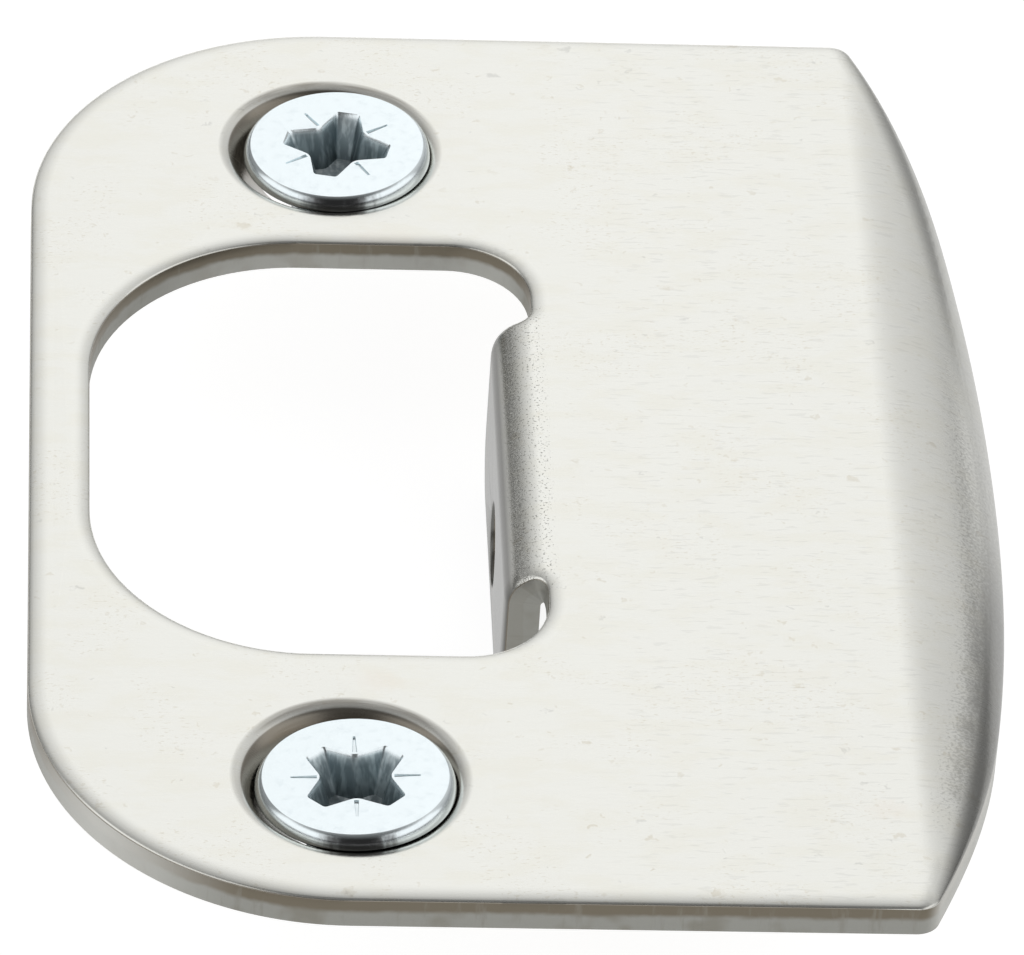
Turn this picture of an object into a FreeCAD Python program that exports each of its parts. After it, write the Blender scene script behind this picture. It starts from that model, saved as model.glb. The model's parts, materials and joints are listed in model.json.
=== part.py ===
import FreeCAD, Part
import math
import os
import Sketcher
from FreeCAD import Placement, Rotation, Vector

# A door strike plate with a full lip, stamped from one sheet of steel, and its two
# countersunk screws, lying face up.
# Z = 0 is the flat back that lies on the door frame, X = 0 is the line through the two
# screw holes and Y = 0 is the middle of the plate. The lip points to +X.

# Driving sizes in millimetres and degrees: name, value, meaning
SIZES = [
    ("sheet", 1.5, "thickness of the sheet"),
    ("edge_margin", 12.93, "from the straight long edge to the line of the screw holes"),
    ("corner_radius", 12.8, "big round corners at the straight long edge"),
    ("lip_reach", 27.8, "from the line of the screw holes to the crown of the lip"),
    ("lip_run", 5.2, "from where the lip begins to bend to its crown"),
    ("lip_bend_radius", 6.2, "outer radius of the lip's bend"),
    ("lip_angle", 60.0, "angle that the lip turns through"),
    ("lip_edge_height", 1.6, "height of the sheared edge at the crown, down to the lip's flat foot"),
    ("crown_radius", 107.0, "arc of the lip's edge in its middle"),
    ("crown_half_width", 16.0, "half width of the middle arc"),
    ("shoulder_radius", 50.0, "tighter arcs beside the middle one"),
    ("lip_corner_radius", 1.0, "small round corners at the ends of the lip"),
    ("latch_margin", 2.5, "from the straight long edge to the latch opening"),
    ("latch_width", 18.8, "latch opening, across the plate"),
    ("latch_height", 27.2, "latch opening, along the plate"),
    ("latch_big_radius", 9.0, "opening's round corners at the straight long edge"),
    ("latch_small_radius", 3.5, "opening's round corners beside the tab"),
    ("notch_land", 0.8, "straight edge of the opening between a corner and the tab's relief"),
    ("tab_drop", 6.9, "from the plate's back down to the end of the tab"),
    ("tab_inside_radius", 0.2, "inner radius of the tab's bend"),
    ("tab_root_radius", 0.8, "round relief on each side of the tab's root"),
    ("tab_corner_radius", 2.8, "round corners at the end of the tab"),
    ("tab_hole_diameter", 3.6, "round hole in the tab"),
    ("tab_hole_margin", 2.9, "from the end of the tab up to the middle of that hole"),
    ("screw_land", 7.175, "from the end of the latch opening to the middle of a screw hole"),
    ("end_margin", 7.8, "from the middle of a screw hole to the end of the plate"),
    ("hole_row_shift", -0.575, "both screw holes' drift from those places, along the plate"),
    ("hole_diameter", 6.3, "pierced diameter under the countersinks"),
    ("countersink_diameter", 9.1, "countersinks at the face"),
    ("countersink_angle", 90.0, "full angle of countersinks and screw heads"),
    ("countersink_rim_radius", 0.9, "soft rim of the countersinks"),
    ("edge_roll", 0.3, "rolled edge that the shearing leaves on the face side"),
    ("head_radius", 4.05, "largest radius of a screw's head"),
    ("head_face_radius", 3.78, "flat face of a screw's head"),
    ("head_edge_height", 0.4, "height of the rounded edge of a head"),
    ("head_land", 0.15, "height of the straight band below that edge"),
    ("shank_radius", 2.0, "outer radius of a screw's thread"),
    ("screw_length", 5.0, "from a screw's face to its tip"),
    ("tip_chamfer", 0.45, "chamfer at a screw's tip"),
    ("recess_reach", 2.3, "from the middle of a drive recess to the ends of its wings"),
    ("recess_wing_width", 1.0, "width of a wing at its end"),
    ("recess_core", 1.0, "half width of the recess between the wings"),
    ("recess_depth", 1.9, "depth of a drive recess"),
    ("recess_taper", 0.62, "size of the recess at its bottom as a share of its mouth"),
    ("seat_gap", 0.03, "left between a screw's head and its countersink"),
    ("upper_shift_across", 0.3, "upper screw's head from the middle of its hole, across"),
    ("upper_shift_along", -0.32, "upper screw's head from the middle of its hole, along"),
    ("upper_lean", 2.2, "lean of the upper screw"),
    ("upper_bearing", 180.0, "direction that the upper screw's face leans to, turned from +X"),
    ("upper_turn", -14.0, "direction of a wing of the upper screw's recess"),
    ("lower_shift_across", 0.19, "lower screw's head from the middle of its hole, across"),
    ("lower_shift_along", -0.3, "lower screw's head from the middle of its hole, along"),
    ("lower_lean", 4.0, "lean of the lower screw"),
    ("lower_bearing", 128.0, "direction that the lower screw's face leans to, turned from +X"),
    ("lower_turn", 45.0, "direction of a wing of the lower screw's recess"),
]

# The sketcher's own numbers for its axes and for the points of a line or an arc
SECOND_AXIS, ORIGIN = range(-2, 0)
START, END, CENTRE = range(1, 4)

NEAR = 1e-4
SHARP = math.radians(30)

doc = FreeCAD.newDocument("StrikePlate")
sheet = doc.addObject("Spreadsheet::Sheet", "Sizes")
for row, (alias, value, meaning) in enumerate(SIZES, start=1):
    sheet.set("A%d" % row, meaning)
    sheet.set("B%d" % row, str(value))
    sheet.setAlias("B%d" % row, alias)
doc.recompute()
size = {alias: float(sheet.get(alias)) for alias, value, meaning in SIZES}


class Outline:
    """A closed run of lines and arcs in a sketch, each joined to the next one."""

    def __init__(self, sketch):
        self.sketch = sketch
        self.pieces = []

    def line(self, start, end):
        """Add a straight piece and return its number."""
        piece = self.sketch.addGeometry(Part.LineSegment(Vector(*start, 0), Vector(*end, 0)))
        self.pieces.append((piece, START, END))
        return piece

    def arc(self, centre, radius, first, last):
        """Add an arc from angle first to angle last, either way round, and return its number."""
        circle = Part.Circle(Vector(*centre, 0), Vector(0, 0, 1), radius)
        piece = self.sketch.addGeometry(Part.ArcOfCircle(circle, min(first, last), max(first, last)))
        ends = (START, END) if first < last else (END, START)
        self.pieces.append((piece, *ends))
        return piece

    def close(self, corners=()):
        """Join every piece to the next one, smoothly except after the pieces in corners."""
        following = self.pieces[1:] + self.pieces[:1]
        for (piece, _, leave), (other, enter, _) in zip(self.pieces, following):
            kind = "Coincident" if piece in corners else "Tangent"
            self.sketch.addConstraint(Sketcher.Constraint(kind, piece, leave, other, enter))

    def align(self, kind, *pieces):
        """Hold lines Horizontal or Vertical."""
        for piece in pieces:
            self.sketch.addConstraint(Sketcher.Constraint(kind, piece))

    def across(self, piece, point, formula):
        """Hold the X of a point to a formula of the sheet's sizes."""
        bind(self.sketch, formula, "DistanceX", ORIGIN, START, piece, point)

    def along(self, piece, point, formula):
        """Hold the second coordinate of a point to a formula of the sheet's sizes."""
        bind(self.sketch, formula, "DistanceY", ORIGIN, START, piece, point)

    def radius(self, piece, formula):
        """Hold an arc's radius to a formula of the sheet's sizes."""
        bind(self.sketch, formula, "Radius", piece)


def bind(sketch, formula, kind, *items):
    """Add a dimension to a sketch and tie it to a formula of the sheet's sizes."""
    value = value_of(formula)
    if kind == "Angle":
        value = math.radians(value)
    number = sketch.addConstraint(Sketcher.Constraint(kind, *items, value))
    sketch.setExpression("Constraints[%d]" % number, named(formula))


def named(formula):
    """Put the sheet's name before each size in a formula."""
    for alias in sorted(size, key=len, reverse=True):
        formula = formula.replace("<%s>" % alias, "Sizes.%s" % alias)
    return formula


def value_of(formula):
    """Number that a formula of the sheet's sizes gives."""
    result = sheet.evalExpression(named(formula))
    return float(getattr(result, "Value", result))


def make_body(name):
    """Start a sub-part with its own label."""
    body = doc.addObject("PartDesign::Body", name)
    body.Label = name
    return body


def make_sketch(body, name, role, offset=None):
    """Attach a sketch to one of the body's origin planes, lifted by a formula if one is given."""
    sketch = body.newObject("Sketcher::SketchObject", name)
    plane = next(item for item in body.Origin.OriginFeatures if item.Role == role)
    sketch.AttachmentSupport = [(plane, "")]
    sketch.MapMode = "FlatFace"
    if offset:
        sketch.setExpression("AttachmentOffset.Base.z", named(offset))
    return sketch


def make_feature(body, kind, name, sketch, **settings):
    """Add a sketch-based feature; settings that are text with a size in it become formulas."""
    feature = body.newObject(kind, name)
    feature.Profile = sketch
    for key, value in settings.items():
        if isinstance(value, str) and "<" in value:
            feature.setExpression(key, named(value))
        else:
            setattr(feature, key, value)
    return feature


def recompute_cut(body, before):
    """Work out the body again and make sure that the last cut took something away."""
    doc.recompute()
    if not body.Shape.Volume < before - NEAR:
        raise RuntimeError("%s: a cut took nothing away" % body.Label)


# Places on the plate that several features share, as formulas of the driving sizes
LATCH_RIGHT = "(<latch_margin> + <latch_width> - <edge_margin>)"
HALF_LATCH = "(<latch_height> / 2)"
HALF_SPACING = "(%s + <screw_land>)" % HALF_LATCH
HALF_PLATE = "(%s + <end_margin>)" % HALF_SPACING
HALF_TAB = "(%s - <latch_small_radius> - <notch_land> - <tab_root_radius>)" % HALF_LATCH
TAB_OUTSIDE_RADIUS = "(<tab_inside_radius> + <sheet>)"
LIP_START = "(<lip_reach> - <lip_run>)"
LIP_BEND_WIDTH = "(<lip_bend_radius> * sin(<lip_angle> * 1deg))"
CROWN_ON_BEND = "(<sheet> - <lip_bend_radius> + sqrt(<lip_bend_radius> ^ 2 - <lip_run> ^ 2))"
CROWN_PAST_BEND = ("(<sheet> - <lip_bend_radius> * (1 - cos(<lip_angle> * 1deg))"
                   " - (<lip_run> - %s) * tan(<lip_angle> * 1deg))" % LIP_BEND_WIDTH)
LIP_FOOT = "((<lip_run> < %s ? %s : %s) - <lip_edge_height>)" % (LIP_BEND_WIDTH, CROWN_ON_BEND, CROWN_PAST_BEND)

left_edge = -size["edge_margin"]
latch_left = left_edge + size["latch_margin"]
latch_right = value_of(LATCH_RIGHT)
half_latch = value_of(HALF_LATCH)
half_spacing = value_of(HALF_SPACING)
half_plate = value_of(HALF_PLATE)
half_tab = value_of(HALF_TAB)
lip_start = value_of(LIP_START)
lip_turn = math.radians(size["lip_angle"])
lip_inside_radius = size["lip_bend_radius"] - size["sheet"]
tab_outside_radius = value_of(TAB_OUTSIDE_RADIUS)


def draw_bent_sheet(sketch):
    """Side view of the flat sheet and the lip that is bent down from it."""
    top = size["sheet"]
    centre = (lip_start, top - size["lip_bend_radius"])
    direction = (math.cos(lip_turn), -math.sin(lip_turn))
    run = size["lip_run"] / math.cos(lip_turn)

    def bend_end(radius):
        return (centre[0] + radius * math.sin(lip_turn), centre[1] + radius * math.cos(lip_turn))

    outside = bend_end(size["lip_bend_radius"])
    inside = bend_end(lip_inside_radius)
    outside_end = (outside[0] + run * direction[0], outside[1] + run * direction[1])
    inside_end = (inside[0] + run * direction[0], inside[1] + run * direction[1])
    profile = Outline(sketch)
    face = profile.line((left_edge, top), (lip_start, top))
    outer = profile.arc(centre, size["lip_bend_radius"], math.pi / 2, math.pi / 2 - lip_turn)
    slope = profile.line(outside, outside_end)
    tip = profile.line(outside_end, inside_end)
    under = profile.line(inside_end, inside)
    inner = profile.arc(centre, lip_inside_radius, math.pi / 2 - lip_turn, math.pi / 2)
    back = profile.line((lip_start, 0), (left_edge, 0))
    side = profile.line((left_edge, 0), (left_edge, top))
    profile.close(corners=(slope, tip, back, side))
    profile.align("Horizontal", face, back)
    profile.align("Vertical", side)
    profile.across(face, START, "-<edge_margin>")
    profile.along(face, START, "<sheet>")
    profile.along(back, END, "0 * <sheet>")
    profile.across(outer, CENTRE, LIP_START)
    profile.radius(outer, "<lip_bend_radius>")
    sketch.addConstraint(Sketcher.Constraint("Coincident", outer, CENTRE, inner, CENTRE))
    sketch.addConstraint(Sketcher.Constraint("Perpendicular", slope, tip))
    sketch.addConstraint(Sketcher.Constraint("Parallel", slope, under))
    bind(sketch, "-<lip_angle> * 1deg", "Angle", slope)
    bind(sketch, "<lip_run> / cos(<lip_angle> * 1deg)", "Distance", slope)


def draw_plate_outline(sketch):
    """Plan of the trimmed plate, drawn inside a larger rectangle that is cut away."""
    corner = size["corner_radius"]
    crown = size["crown_radius"]
    shoulder = size["shoulder_radius"]
    small = size["lip_corner_radius"]
    crown_centre = size["lip_reach"] - crown
    crown_turn = math.asin(size["crown_half_width"] / crown)
    shoulder_centre = (crown_centre + (crown - shoulder) * math.cos(crown_turn),
                       (crown - shoulder) * math.sin(crown_turn))
    rise = half_plate - small - shoulder_centre[1]
    small_centre = (shoulder_centre[0] + math.sqrt((shoulder - small) ** 2 - rise ** 2),
                    half_plate - small)
    shoulder_turn = math.asin(rise / (shoulder - small))
    quarter = math.pi / 2

    plate = Outline(sketch)
    low = plate.line((left_edge + corner, -half_plate), (small_centre[0], -half_plate))
    low_corner = plate.arc((small_centre[0], -small_centre[1]), small, -quarter, -shoulder_turn)
    low_shoulder = plate.arc((shoulder_centre[0], -shoulder_centre[1]), shoulder,
                             -shoulder_turn, -crown_turn)
    middle = plate.arc((crown_centre, 0), crown, -crown_turn, crown_turn)
    high_shoulder = plate.arc(shoulder_centre, shoulder, crown_turn, shoulder_turn)
    high_corner = plate.arc(small_centre, small, shoulder_turn, quarter)
    high = plate.line((small_centre[0], half_plate), (left_edge + corner, half_plate))
    high_round = plate.arc((left_edge + corner, half_plate - corner), corner, quarter, 2 * quarter)
    side = plate.line((left_edge, half_plate - corner), (left_edge, corner - half_plate))
    low_round = plate.arc((left_edge + corner, corner - half_plate), corner, 2 * quarter, 3 * quarter)
    plate.close()
    plate.align("Horizontal", low, high)
    plate.align("Vertical", side)
    plate.across(side, START, "-<edge_margin>")
    plate.along(high, START, HALF_PLATE)
    plate.along(low, START, "-" + HALF_PLATE)
    plate.across(middle, CENTRE, "<lip_reach> - <crown_radius>")
    plate.along(middle, CENTRE, "0 * <sheet>")
    plate.along(middle, END, "<crown_half_width>")
    plate.along(middle, START, "-<crown_half_width>")
    plate.radius(middle, "<crown_radius>")
    for piece in (low_shoulder, high_shoulder):
        plate.radius(piece, "<shoulder_radius>")
    for piece in (low_corner, high_corner):
        plate.radius(piece, "<lip_corner_radius>")
    for piece in (low_round, high_round):
        plate.radius(piece, "<corner_radius>")
    draw_surround(sketch)


def draw_surround(sketch):
    """Square that reaches one length of the plate each way, well outside it."""
    reach = 2 * half_plate
    corners = [(-reach, -reach), (reach, -reach), (reach, reach), (-reach, reach)]
    frame = Outline(sketch)
    sides = [frame.line(a, b) for a, b in zip(corners, corners[1:] + corners[:1])]
    frame.close(corners=sides)
    frame.align("Horizontal", sides[0], sides[2])
    frame.align("Vertical", sides[1], sides[3])
    for side, sign in ((sides[0], "-2"), (sides[2], "2")):
        frame.across(side, START, "%s * %s" % (sign, HALF_PLATE))
        frame.along(side, START, "%s * %s" % (sign, HALF_PLATE))


def draw_foot_trim(sketch):
    """Side view of what is trimmed off below the lip's flat foot."""
    top = value_of(LIP_FOOT)
    deep = top - size["lip_reach"]
    end = lip_start + size["lip_reach"]
    trim = Outline(sketch)
    corners = [(lip_start, deep), (end, deep), (end, top), (lip_start, top)]
    sides = [trim.line(a, b) for a, b in zip(corners, corners[1:] + corners[:1])]
    trim.close(corners=sides)
    trim.align("Horizontal", sides[0], sides[2])
    trim.align("Vertical", sides[1], sides[3])
    trim.across(sides[0], START, LIP_START)
    trim.along(sides[0], START, LIP_FOOT + " - <lip_reach>")
    trim.across(sides[2], START, LIP_START + " + <lip_reach>")
    trim.along(sides[2], START, LIP_FOOT)


def draw_latch_opening(sketch):
    """Plan of the latch opening: two large and two small round corners."""
    big = size["latch_big_radius"]
    small = size["latch_small_radius"]
    quarter = math.pi / 2
    hole = Outline(sketch)
    low = hole.line((latch_left + big, -half_latch), (latch_right - small, -half_latch))
    low_small = hole.arc((latch_right - small, small - half_latch), small, -quarter, 0)
    right = hole.line((latch_right, small - half_latch), (latch_right, half_latch - small))
    high_small = hole.arc((latch_right - small, half_latch - small), small, 0, quarter)
    high = hole.line((latch_right - small, half_latch), (latch_left + big, half_latch))
    high_big = hole.arc((latch_left + big, half_latch - big), big, quarter, 2 * quarter)
    left = hole.line((latch_left, half_latch - big), (latch_left, big - half_latch))
    low_big = hole.arc((latch_left + big, big - half_latch), big, 2 * quarter, 3 * quarter)
    hole.close()
    hole.align("Horizontal", low, high)
    hole.align("Vertical", left, right)
    hole.across(left, START, "<latch_margin> - <edge_margin>")
    hole.across(right, START, LATCH_RIGHT)
    hole.along(low, START, "-" + HALF_LATCH)
    hole.along(high, START, HALF_LATCH)
    for piece in (low_small, high_small):
        hole.radius(piece, "<latch_small_radius>")
    for piece in (low_big, high_big):
        hole.radius(piece, "<latch_big_radius>")


def draw_tab_side(sketch):
    """Side view of the tab: a tight quarter bend and a straight leg."""
    top = size["sheet"]
    bend = top - tab_outside_radius
    outer_face = latch_right - tab_outside_radius
    inner_face = latch_right - size["tab_inside_radius"]
    end = -size["tab_drop"]
    tab = Outline(sketch)
    outer = tab.arc((latch_right, bend), tab_outside_radius, math.pi / 2, math.pi)
    leg = tab.line((outer_face, bend), (outer_face, end))
    tip = tab.line((outer_face, end), (inner_face, end))
    inside = tab.line((inner_face, end), (inner_face, bend))
    inner = tab.arc((latch_right, bend), size["tab_inside_radius"], math.pi, math.pi / 2)
    root = tab.line((latch_right, 0), (latch_right, top))
    tab.close(corners=(leg, tip, inner, root))
    tab.align("Horizontal", tip)
    tab.align("Vertical", leg, inside, root)
    tab.across(root, START, LATCH_RIGHT)
    tab.along(root, START, "0 * <sheet>")
    tab.along(root, END, "<sheet>")
    tab.across(outer, CENTRE, LATCH_RIGHT)
    tab.across(inner, CENTRE, LATCH_RIGHT)
    tab.radius(outer, TAB_OUTSIDE_RADIUS)
    tab.radius(inner, "<tab_inside_radius>")
    tab.along(tip, START, "-<tab_drop>")


def draw_tab_root(sketch):
    """Side view of the tab's root: the part of the bend that lies within the sheet."""
    top = size["sheet"]
    bend = top - tab_outside_radius
    turn = math.pi - math.asin(-bend / tab_outside_radius)
    left = latch_right + tab_outside_radius * math.cos(turn)
    web = Outline(sketch)
    outer = web.arc((latch_right, bend), tab_outside_radius, math.pi / 2, turn)
    low = web.line((left, 0), (latch_right, 0))
    root = web.line((latch_right, 0), (latch_right, top))
    web.close(corners=(outer, low, root))
    web.align("Horizontal", low)
    web.align("Vertical", root)
    web.across(root, START, LATCH_RIGHT)
    web.along(root, START, "0 * <sheet>")
    web.along(root, END, "<sheet>")
    web.across(outer, CENTRE, LATCH_RIGHT)
    web.radius(outer, TAB_OUTSIDE_RADIUS)


def draw_tab_reliefs(sketch):
    """Plan of what is cut from the two sides of the tab's root, with a round end at each."""
    root = size["tab_root_radius"]
    side = half_tab
    left = latch_right - 2 * tab_outside_radius
    quarter = math.pi / 2
    for sign in (1, -1):
        mark = "" if sign > 0 else "-"
        relief = Outline(sketch)
        first, last = (4 * quarter, 3 * quarter) if sign > 0 else (0, quarter)
        curve = relief.arc((latch_right - root, sign * (side + root)), root, first, last)
        edge = relief.line((latch_right - root, sign * side), (left, sign * side))
        end = relief.line((left, sign * side), (left, sign * (side + root)))
        back = relief.line((left, sign * (side + root)), (latch_right, sign * (side + root)))
        relief.close(corners=(edge, end, back))
        relief.align("Horizontal", edge, back)
        relief.align("Vertical", end)
        relief.radius(curve, "<tab_root_radius>")
        relief.across(back, END, LATCH_RIGHT)
        relief.across(end, START, "%s - 2 * %s" % (LATCH_RIGHT, TAB_OUTSIDE_RADIUS))
        relief.along(edge, START, mark + HALF_TAB)
        relief.along(back, START, "%s(%s + <tab_root_radius>)" % (mark, HALF_TAB))


def draw_tab_hole(sketch):
    """Round hole in the tab, seen from its front."""
    draw_hole(sketch, "<tab_hole_margin> - <tab_drop>", "<tab_hole_diameter>")


def draw_screw_holes(sketch):
    """Centres of the two screw holes."""
    draw_hole(sketch, "<hole_row_shift> + " + HALF_SPACING, "<hole_diameter>")
    draw_hole(sketch, "<hole_row_shift> - " + HALF_SPACING, "<hole_diameter>")


def draw_hole(sketch, place, diameter):
    """Circle on a sketch's second axis, its place and diameter given as formulas."""
    circle = Part.Circle(Vector(0, value_of(place), 0), Vector(0, 0, 1), value_of(diameter) / 2)
    hole = sketch.addGeometry(circle)
    sketch.addConstraint(Sketcher.Constraint("PointOnObject", hole, CENTRE, SECOND_AXIS))
    bind(sketch, place, "DistanceY", ORIGIN, START, hole, CENTRE)
    bind(sketch, diameter, "Diameter", hole)


def middle_of(edge):
    """Point half way along an edge."""
    return edge.valueAt((edge.FirstParameter + edge.LastParameter) / 2)


def face_normal_at(face, point):
    """Outward normal of a face at a point on it."""
    u, v = face.Surface.parameter(point)
    return face.normalAt(u, v)


def is_sharp(shape, edge):
    """Say whether the two faces that meet at an edge form a corner."""
    faces = shape.ancestorsOfType(edge, Part.Face)
    if len(faces) != 2:
        return False
    point = middle_of(edge)
    first, second = (face_normal_at(face, point) for face in faces)
    return first.getAngle(second) > SHARP


def on_skin(point):
    """Say whether a point lies on the face side of the sheet, lip and tab included."""
    top = size["sheet"]
    if point.x < lip_start + NEAR:
        bend = math.hypot(point.x - latch_right, point.z - top + tab_outside_radius)
        beside_tab = abs(point.y) < half_tab + size["tab_root_radius"] + NEAR
        in_tab = beside_tab and latch_left < point.x < latch_right + NEAR
        on_bend = abs(bend - tab_outside_radius) < NEAR and point.z < top
        on_leg = abs(point.x - latch_right + tab_outside_radius) < NEAR
        return abs(point.z - top) < NEAR or (in_tab and (on_bend or on_leg))
    radius = size["lip_bend_radius"]
    across = point.x - lip_start
    down = point.z - top + radius
    on_bend = abs(math.hypot(across, down) - radius) < NEAR and math.atan2(across, down) < lip_turn + NEAR
    past = across * math.sin(lip_turn) + down * math.cos(lip_turn)
    return on_bend or abs(past - radius) < NEAR


def edge_names(shape, wanted):
    """Names of a shape's edges that a test picks."""
    return ["Edge%d" % number for number, edge in enumerate(shape.Edges, start=1)
            if wanted(shape, edge)]


def is_tab_corner(shape, edge):
    """Short edge across the sheet at a lower corner of the tab."""
    middle = middle_of(edge)
    low = abs(middle.z + size["tab_drop"]) < NEAR
    outside = abs(abs(middle.y) - half_tab) < NEAR
    return low and outside and abs(edge.Length - size["sheet"]) < NEAR


def is_countersink_rim(shape, edge):
    """Full circle where a countersink meets the face."""
    radius = getattr(edge.Curve, "Radius", 0)
    flat = abs(middle_of(edge).z - size["sheet"]) < NEAR
    return flat and abs(radius - size["countersink_diameter"] / 2) < NEAR


def is_sheared_edge(shape, edge):
    """Edge between the face side of the sheet and a sheared side, countersinks left out."""
    on_face = on_skin(middle_of(edge))
    return on_face and is_sharp(shape, edge) and not is_countersink_rim(shape, edge)


def round_edges(body, name, wanted, formula):
    """Round the edges that a test picks, by a radius from the sheet."""
    base = body.Tip
    picked = edge_names(base.Shape, wanted)
    fillet = body.newObject("PartDesign::Fillet", name)
    fillet.Base = (base, picked)
    fillet.setExpression("Radius", named(formula))
    body.Tip = fillet
    doc.recompute()
    return fillet


def build_plate():
    """Stamped plate: bent lip, trimmed outline, latch opening, bent tab and countersinks."""
    body = make_body("strike_plate")
    side_view = make_sketch(body, "bent_sheet", "XZ_Plane")
    draw_bent_sheet(side_view)
    make_feature(body, "PartDesign::Pad", "bent_blank", side_view, Midplane=True,
                 Length="2 * " + HALF_PLATE)
    doc.recompute()

    trims = (
        ("outline_trim", draw_plate_outline, "XY_Plane"),
        ("foot_trim", draw_foot_trim, "XZ_Plane"),
        ("latch_opening", draw_latch_opening, "XY_Plane"),
    )
    for name, draw, role in trims:
        volume = body.Shape.Volume
        plan = make_sketch(body, name + "_sketch", role)
        draw(plan)
        make_feature(body, "PartDesign::Pocket", name, plan, Type="ThroughAll", Midplane=True)
        recompute_cut(body, volume)

    root_side = make_sketch(body, "tab_root_side", "XZ_Plane")
    draw_tab_root(root_side)
    make_feature(body, "PartDesign::Pad", "tab_root", root_side, Midplane=True,
                 Length="2 * (%s + <tab_root_radius>)" % HALF_TAB)
    doc.recompute()
    volume = body.Shape.Volume
    reliefs = make_sketch(body, "tab_reliefs_sketch", "XY_Plane")
    draw_tab_reliefs(reliefs)
    make_feature(body, "PartDesign::Pocket", "tab_reliefs", reliefs, Type="ThroughAll", Midplane=True)
    recompute_cut(body, volume)
    tab_side = make_sketch(body, "tab_side", "XZ_Plane")
    draw_tab_side(tab_side)
    make_feature(body, "PartDesign::Pad", "tab", tab_side, Midplane=True, Length="2 * " + HALF_TAB)
    doc.recompute()

    volume = body.Shape.Volume
    tab_front = make_sketch(body, "tab_hole_sketch", "YZ_Plane", LATCH_RIGHT + " - <tab_inside_radius>")
    draw_tab_hole(tab_front)
    make_feature(body, "PartDesign::Pocket", "tab_hole", tab_front, Type="Length", Length="<sheet>")
    recompute_cut(body, volume)
    round_edges(body, "tab_corners", is_tab_corner, "<tab_corner_radius>")

    volume = body.Shape.Volume
    centres = make_sketch(body, "screw_hole_centres", "XY_Plane", "<sheet>")
    draw_screw_holes(centres)
    doc.recompute()
    make_feature(body, "PartDesign::Hole", "screw_holes", centres, DepthType="ThroughAll",
                 Diameter="<hole_diameter>", HoleCutType="Countersink",
                 HoleCutDiameter="<countersink_diameter>", HoleCutCountersinkAngle="<countersink_angle>")
    recompute_cut(body, volume)

    round_edges(body, "rolled_edges", is_sheared_edge, "<edge_roll>")
    round_edges(body, "soft_rims", is_countersink_rim, "<countersink_rim_radius>")
    return body


def draw_screw_profile(sketch):
    """Half section of a countersunk screw with its face at zero."""
    half_angle = math.radians(size["countersink_angle"] / 2)
    rim = -size["head_edge_height"]
    land = rim - size["head_land"]
    neck = land - (size["head_radius"] - size["shank_radius"]) / math.tan(half_angle)
    end = -size["screw_length"]
    points = [
        (0, 0),
        (size["head_face_radius"], 0),
        (size["head_radius"], rim),
        (size["head_radius"], land),
        (size["shank_radius"], neck),
        (size["shank_radius"], end + size["tip_chamfer"]),
        (size["shank_radius"] - size["tip_chamfer"], end),
        (0, end),
    ]
    profile = Outline(sketch)
    sides = [profile.line(a, b) for a, b in zip(points, points[1:] + points[:1])]
    profile.close(corners=sides)
    face, edge, band, cone, shank, chamfer, tip, axis = sides
    profile.align("Horizontal", face, tip)
    profile.align("Vertical", band, shank, axis)
    profile.across(face, START, "0 * <head_radius>")
    profile.along(face, START, "0 * <head_radius>")
    profile.across(face, END, "<head_face_radius>")
    profile.across(edge, END, "<head_radius>")
    profile.along(edge, END, "-<head_edge_height>")
    profile.along(band, END, "-(<head_edge_height> + <head_land>)")
    profile.across(cone, END, "<shank_radius>")
    profile.along(cone, END, "-(<head_edge_height> + <head_land>)"
                  " - (<head_radius> - <shank_radius>) / tan(<countersink_angle> / 2 * 1deg)")
    profile.along(shank, END, "<tip_chamfer> - <screw_length>")
    profile.across(chamfer, END, "<shank_radius> - <tip_chamfer>")
    profile.along(tip, END, "-<screw_length>")


def draw_recess(sketch, share, factor):
    """Cross-shaped drive recess with four wings, at a share of its size at the face."""
    reach = share * size["recess_reach"]
    wing = share * size["recess_wing_width"] / 2
    core = share * size["recess_core"]
    corners = []
    for quarter in range(4):
        turn = quarter * math.pi / 2
        for across, along in ((reach, -wing), (reach, wing), (core, core)):
            corners.append((across * math.cos(turn) - along * math.sin(turn),
                            across * math.sin(turn) + along * math.cos(turn)))
    names = {reach: "<recess_reach>", wing: "<recess_wing_width> / 2", core: "<recess_core>"}
    cross = Outline(sketch)
    sides = [cross.line(a, b) for a, b in zip(corners, corners[1:] + corners[:1])]
    cross.close(corners=sides)
    for side, corner in zip(sides, corners):
        for hold, value in ((cross.across, corner[0]), (cross.along, corner[1])):
            name = min(names, key=lambda known: abs(known - abs(value)))
            mark = "-" if value < 0 else ""
            hold(side, START, "%s(%s)%s" % (mark, names[name], factor))


def seat_height(across, along, lean, bearing):
    """Height of the middle of a leaning head's widest circle, when its cone just clears the countersink."""
    steep = math.tan(math.radians(size["countersink_angle"] / 2))
    lean, bearing = math.radians(lean), math.radians(bearing)
    heights = []
    for level in range(10):
        sink = (size["head_radius"] - size["hole_diameter"] / 2) / steep * level / 9
        radius = size["head_radius"] - sink * steep
        for step in range(180):
            turn = math.radians(2 * step)
            ahead = radius * math.cos(turn) * math.cos(lean) - sink * math.sin(lean)
            beside = radius * math.sin(turn)
            rise = -radius * math.cos(turn) * math.sin(lean) - sink * math.cos(lean)
            reach = math.hypot(across + ahead * math.cos(bearing) - beside * math.sin(bearing),
                               along + ahead * math.sin(bearing) + beside * math.cos(bearing))
            if reach >= size["hole_diameter"] / 2:
                heights.append(size["sheet"] - (size["countersink_diameter"] / 2 - reach) / steep - rise)
    return max(heights) + size["seat_gap"]


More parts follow.
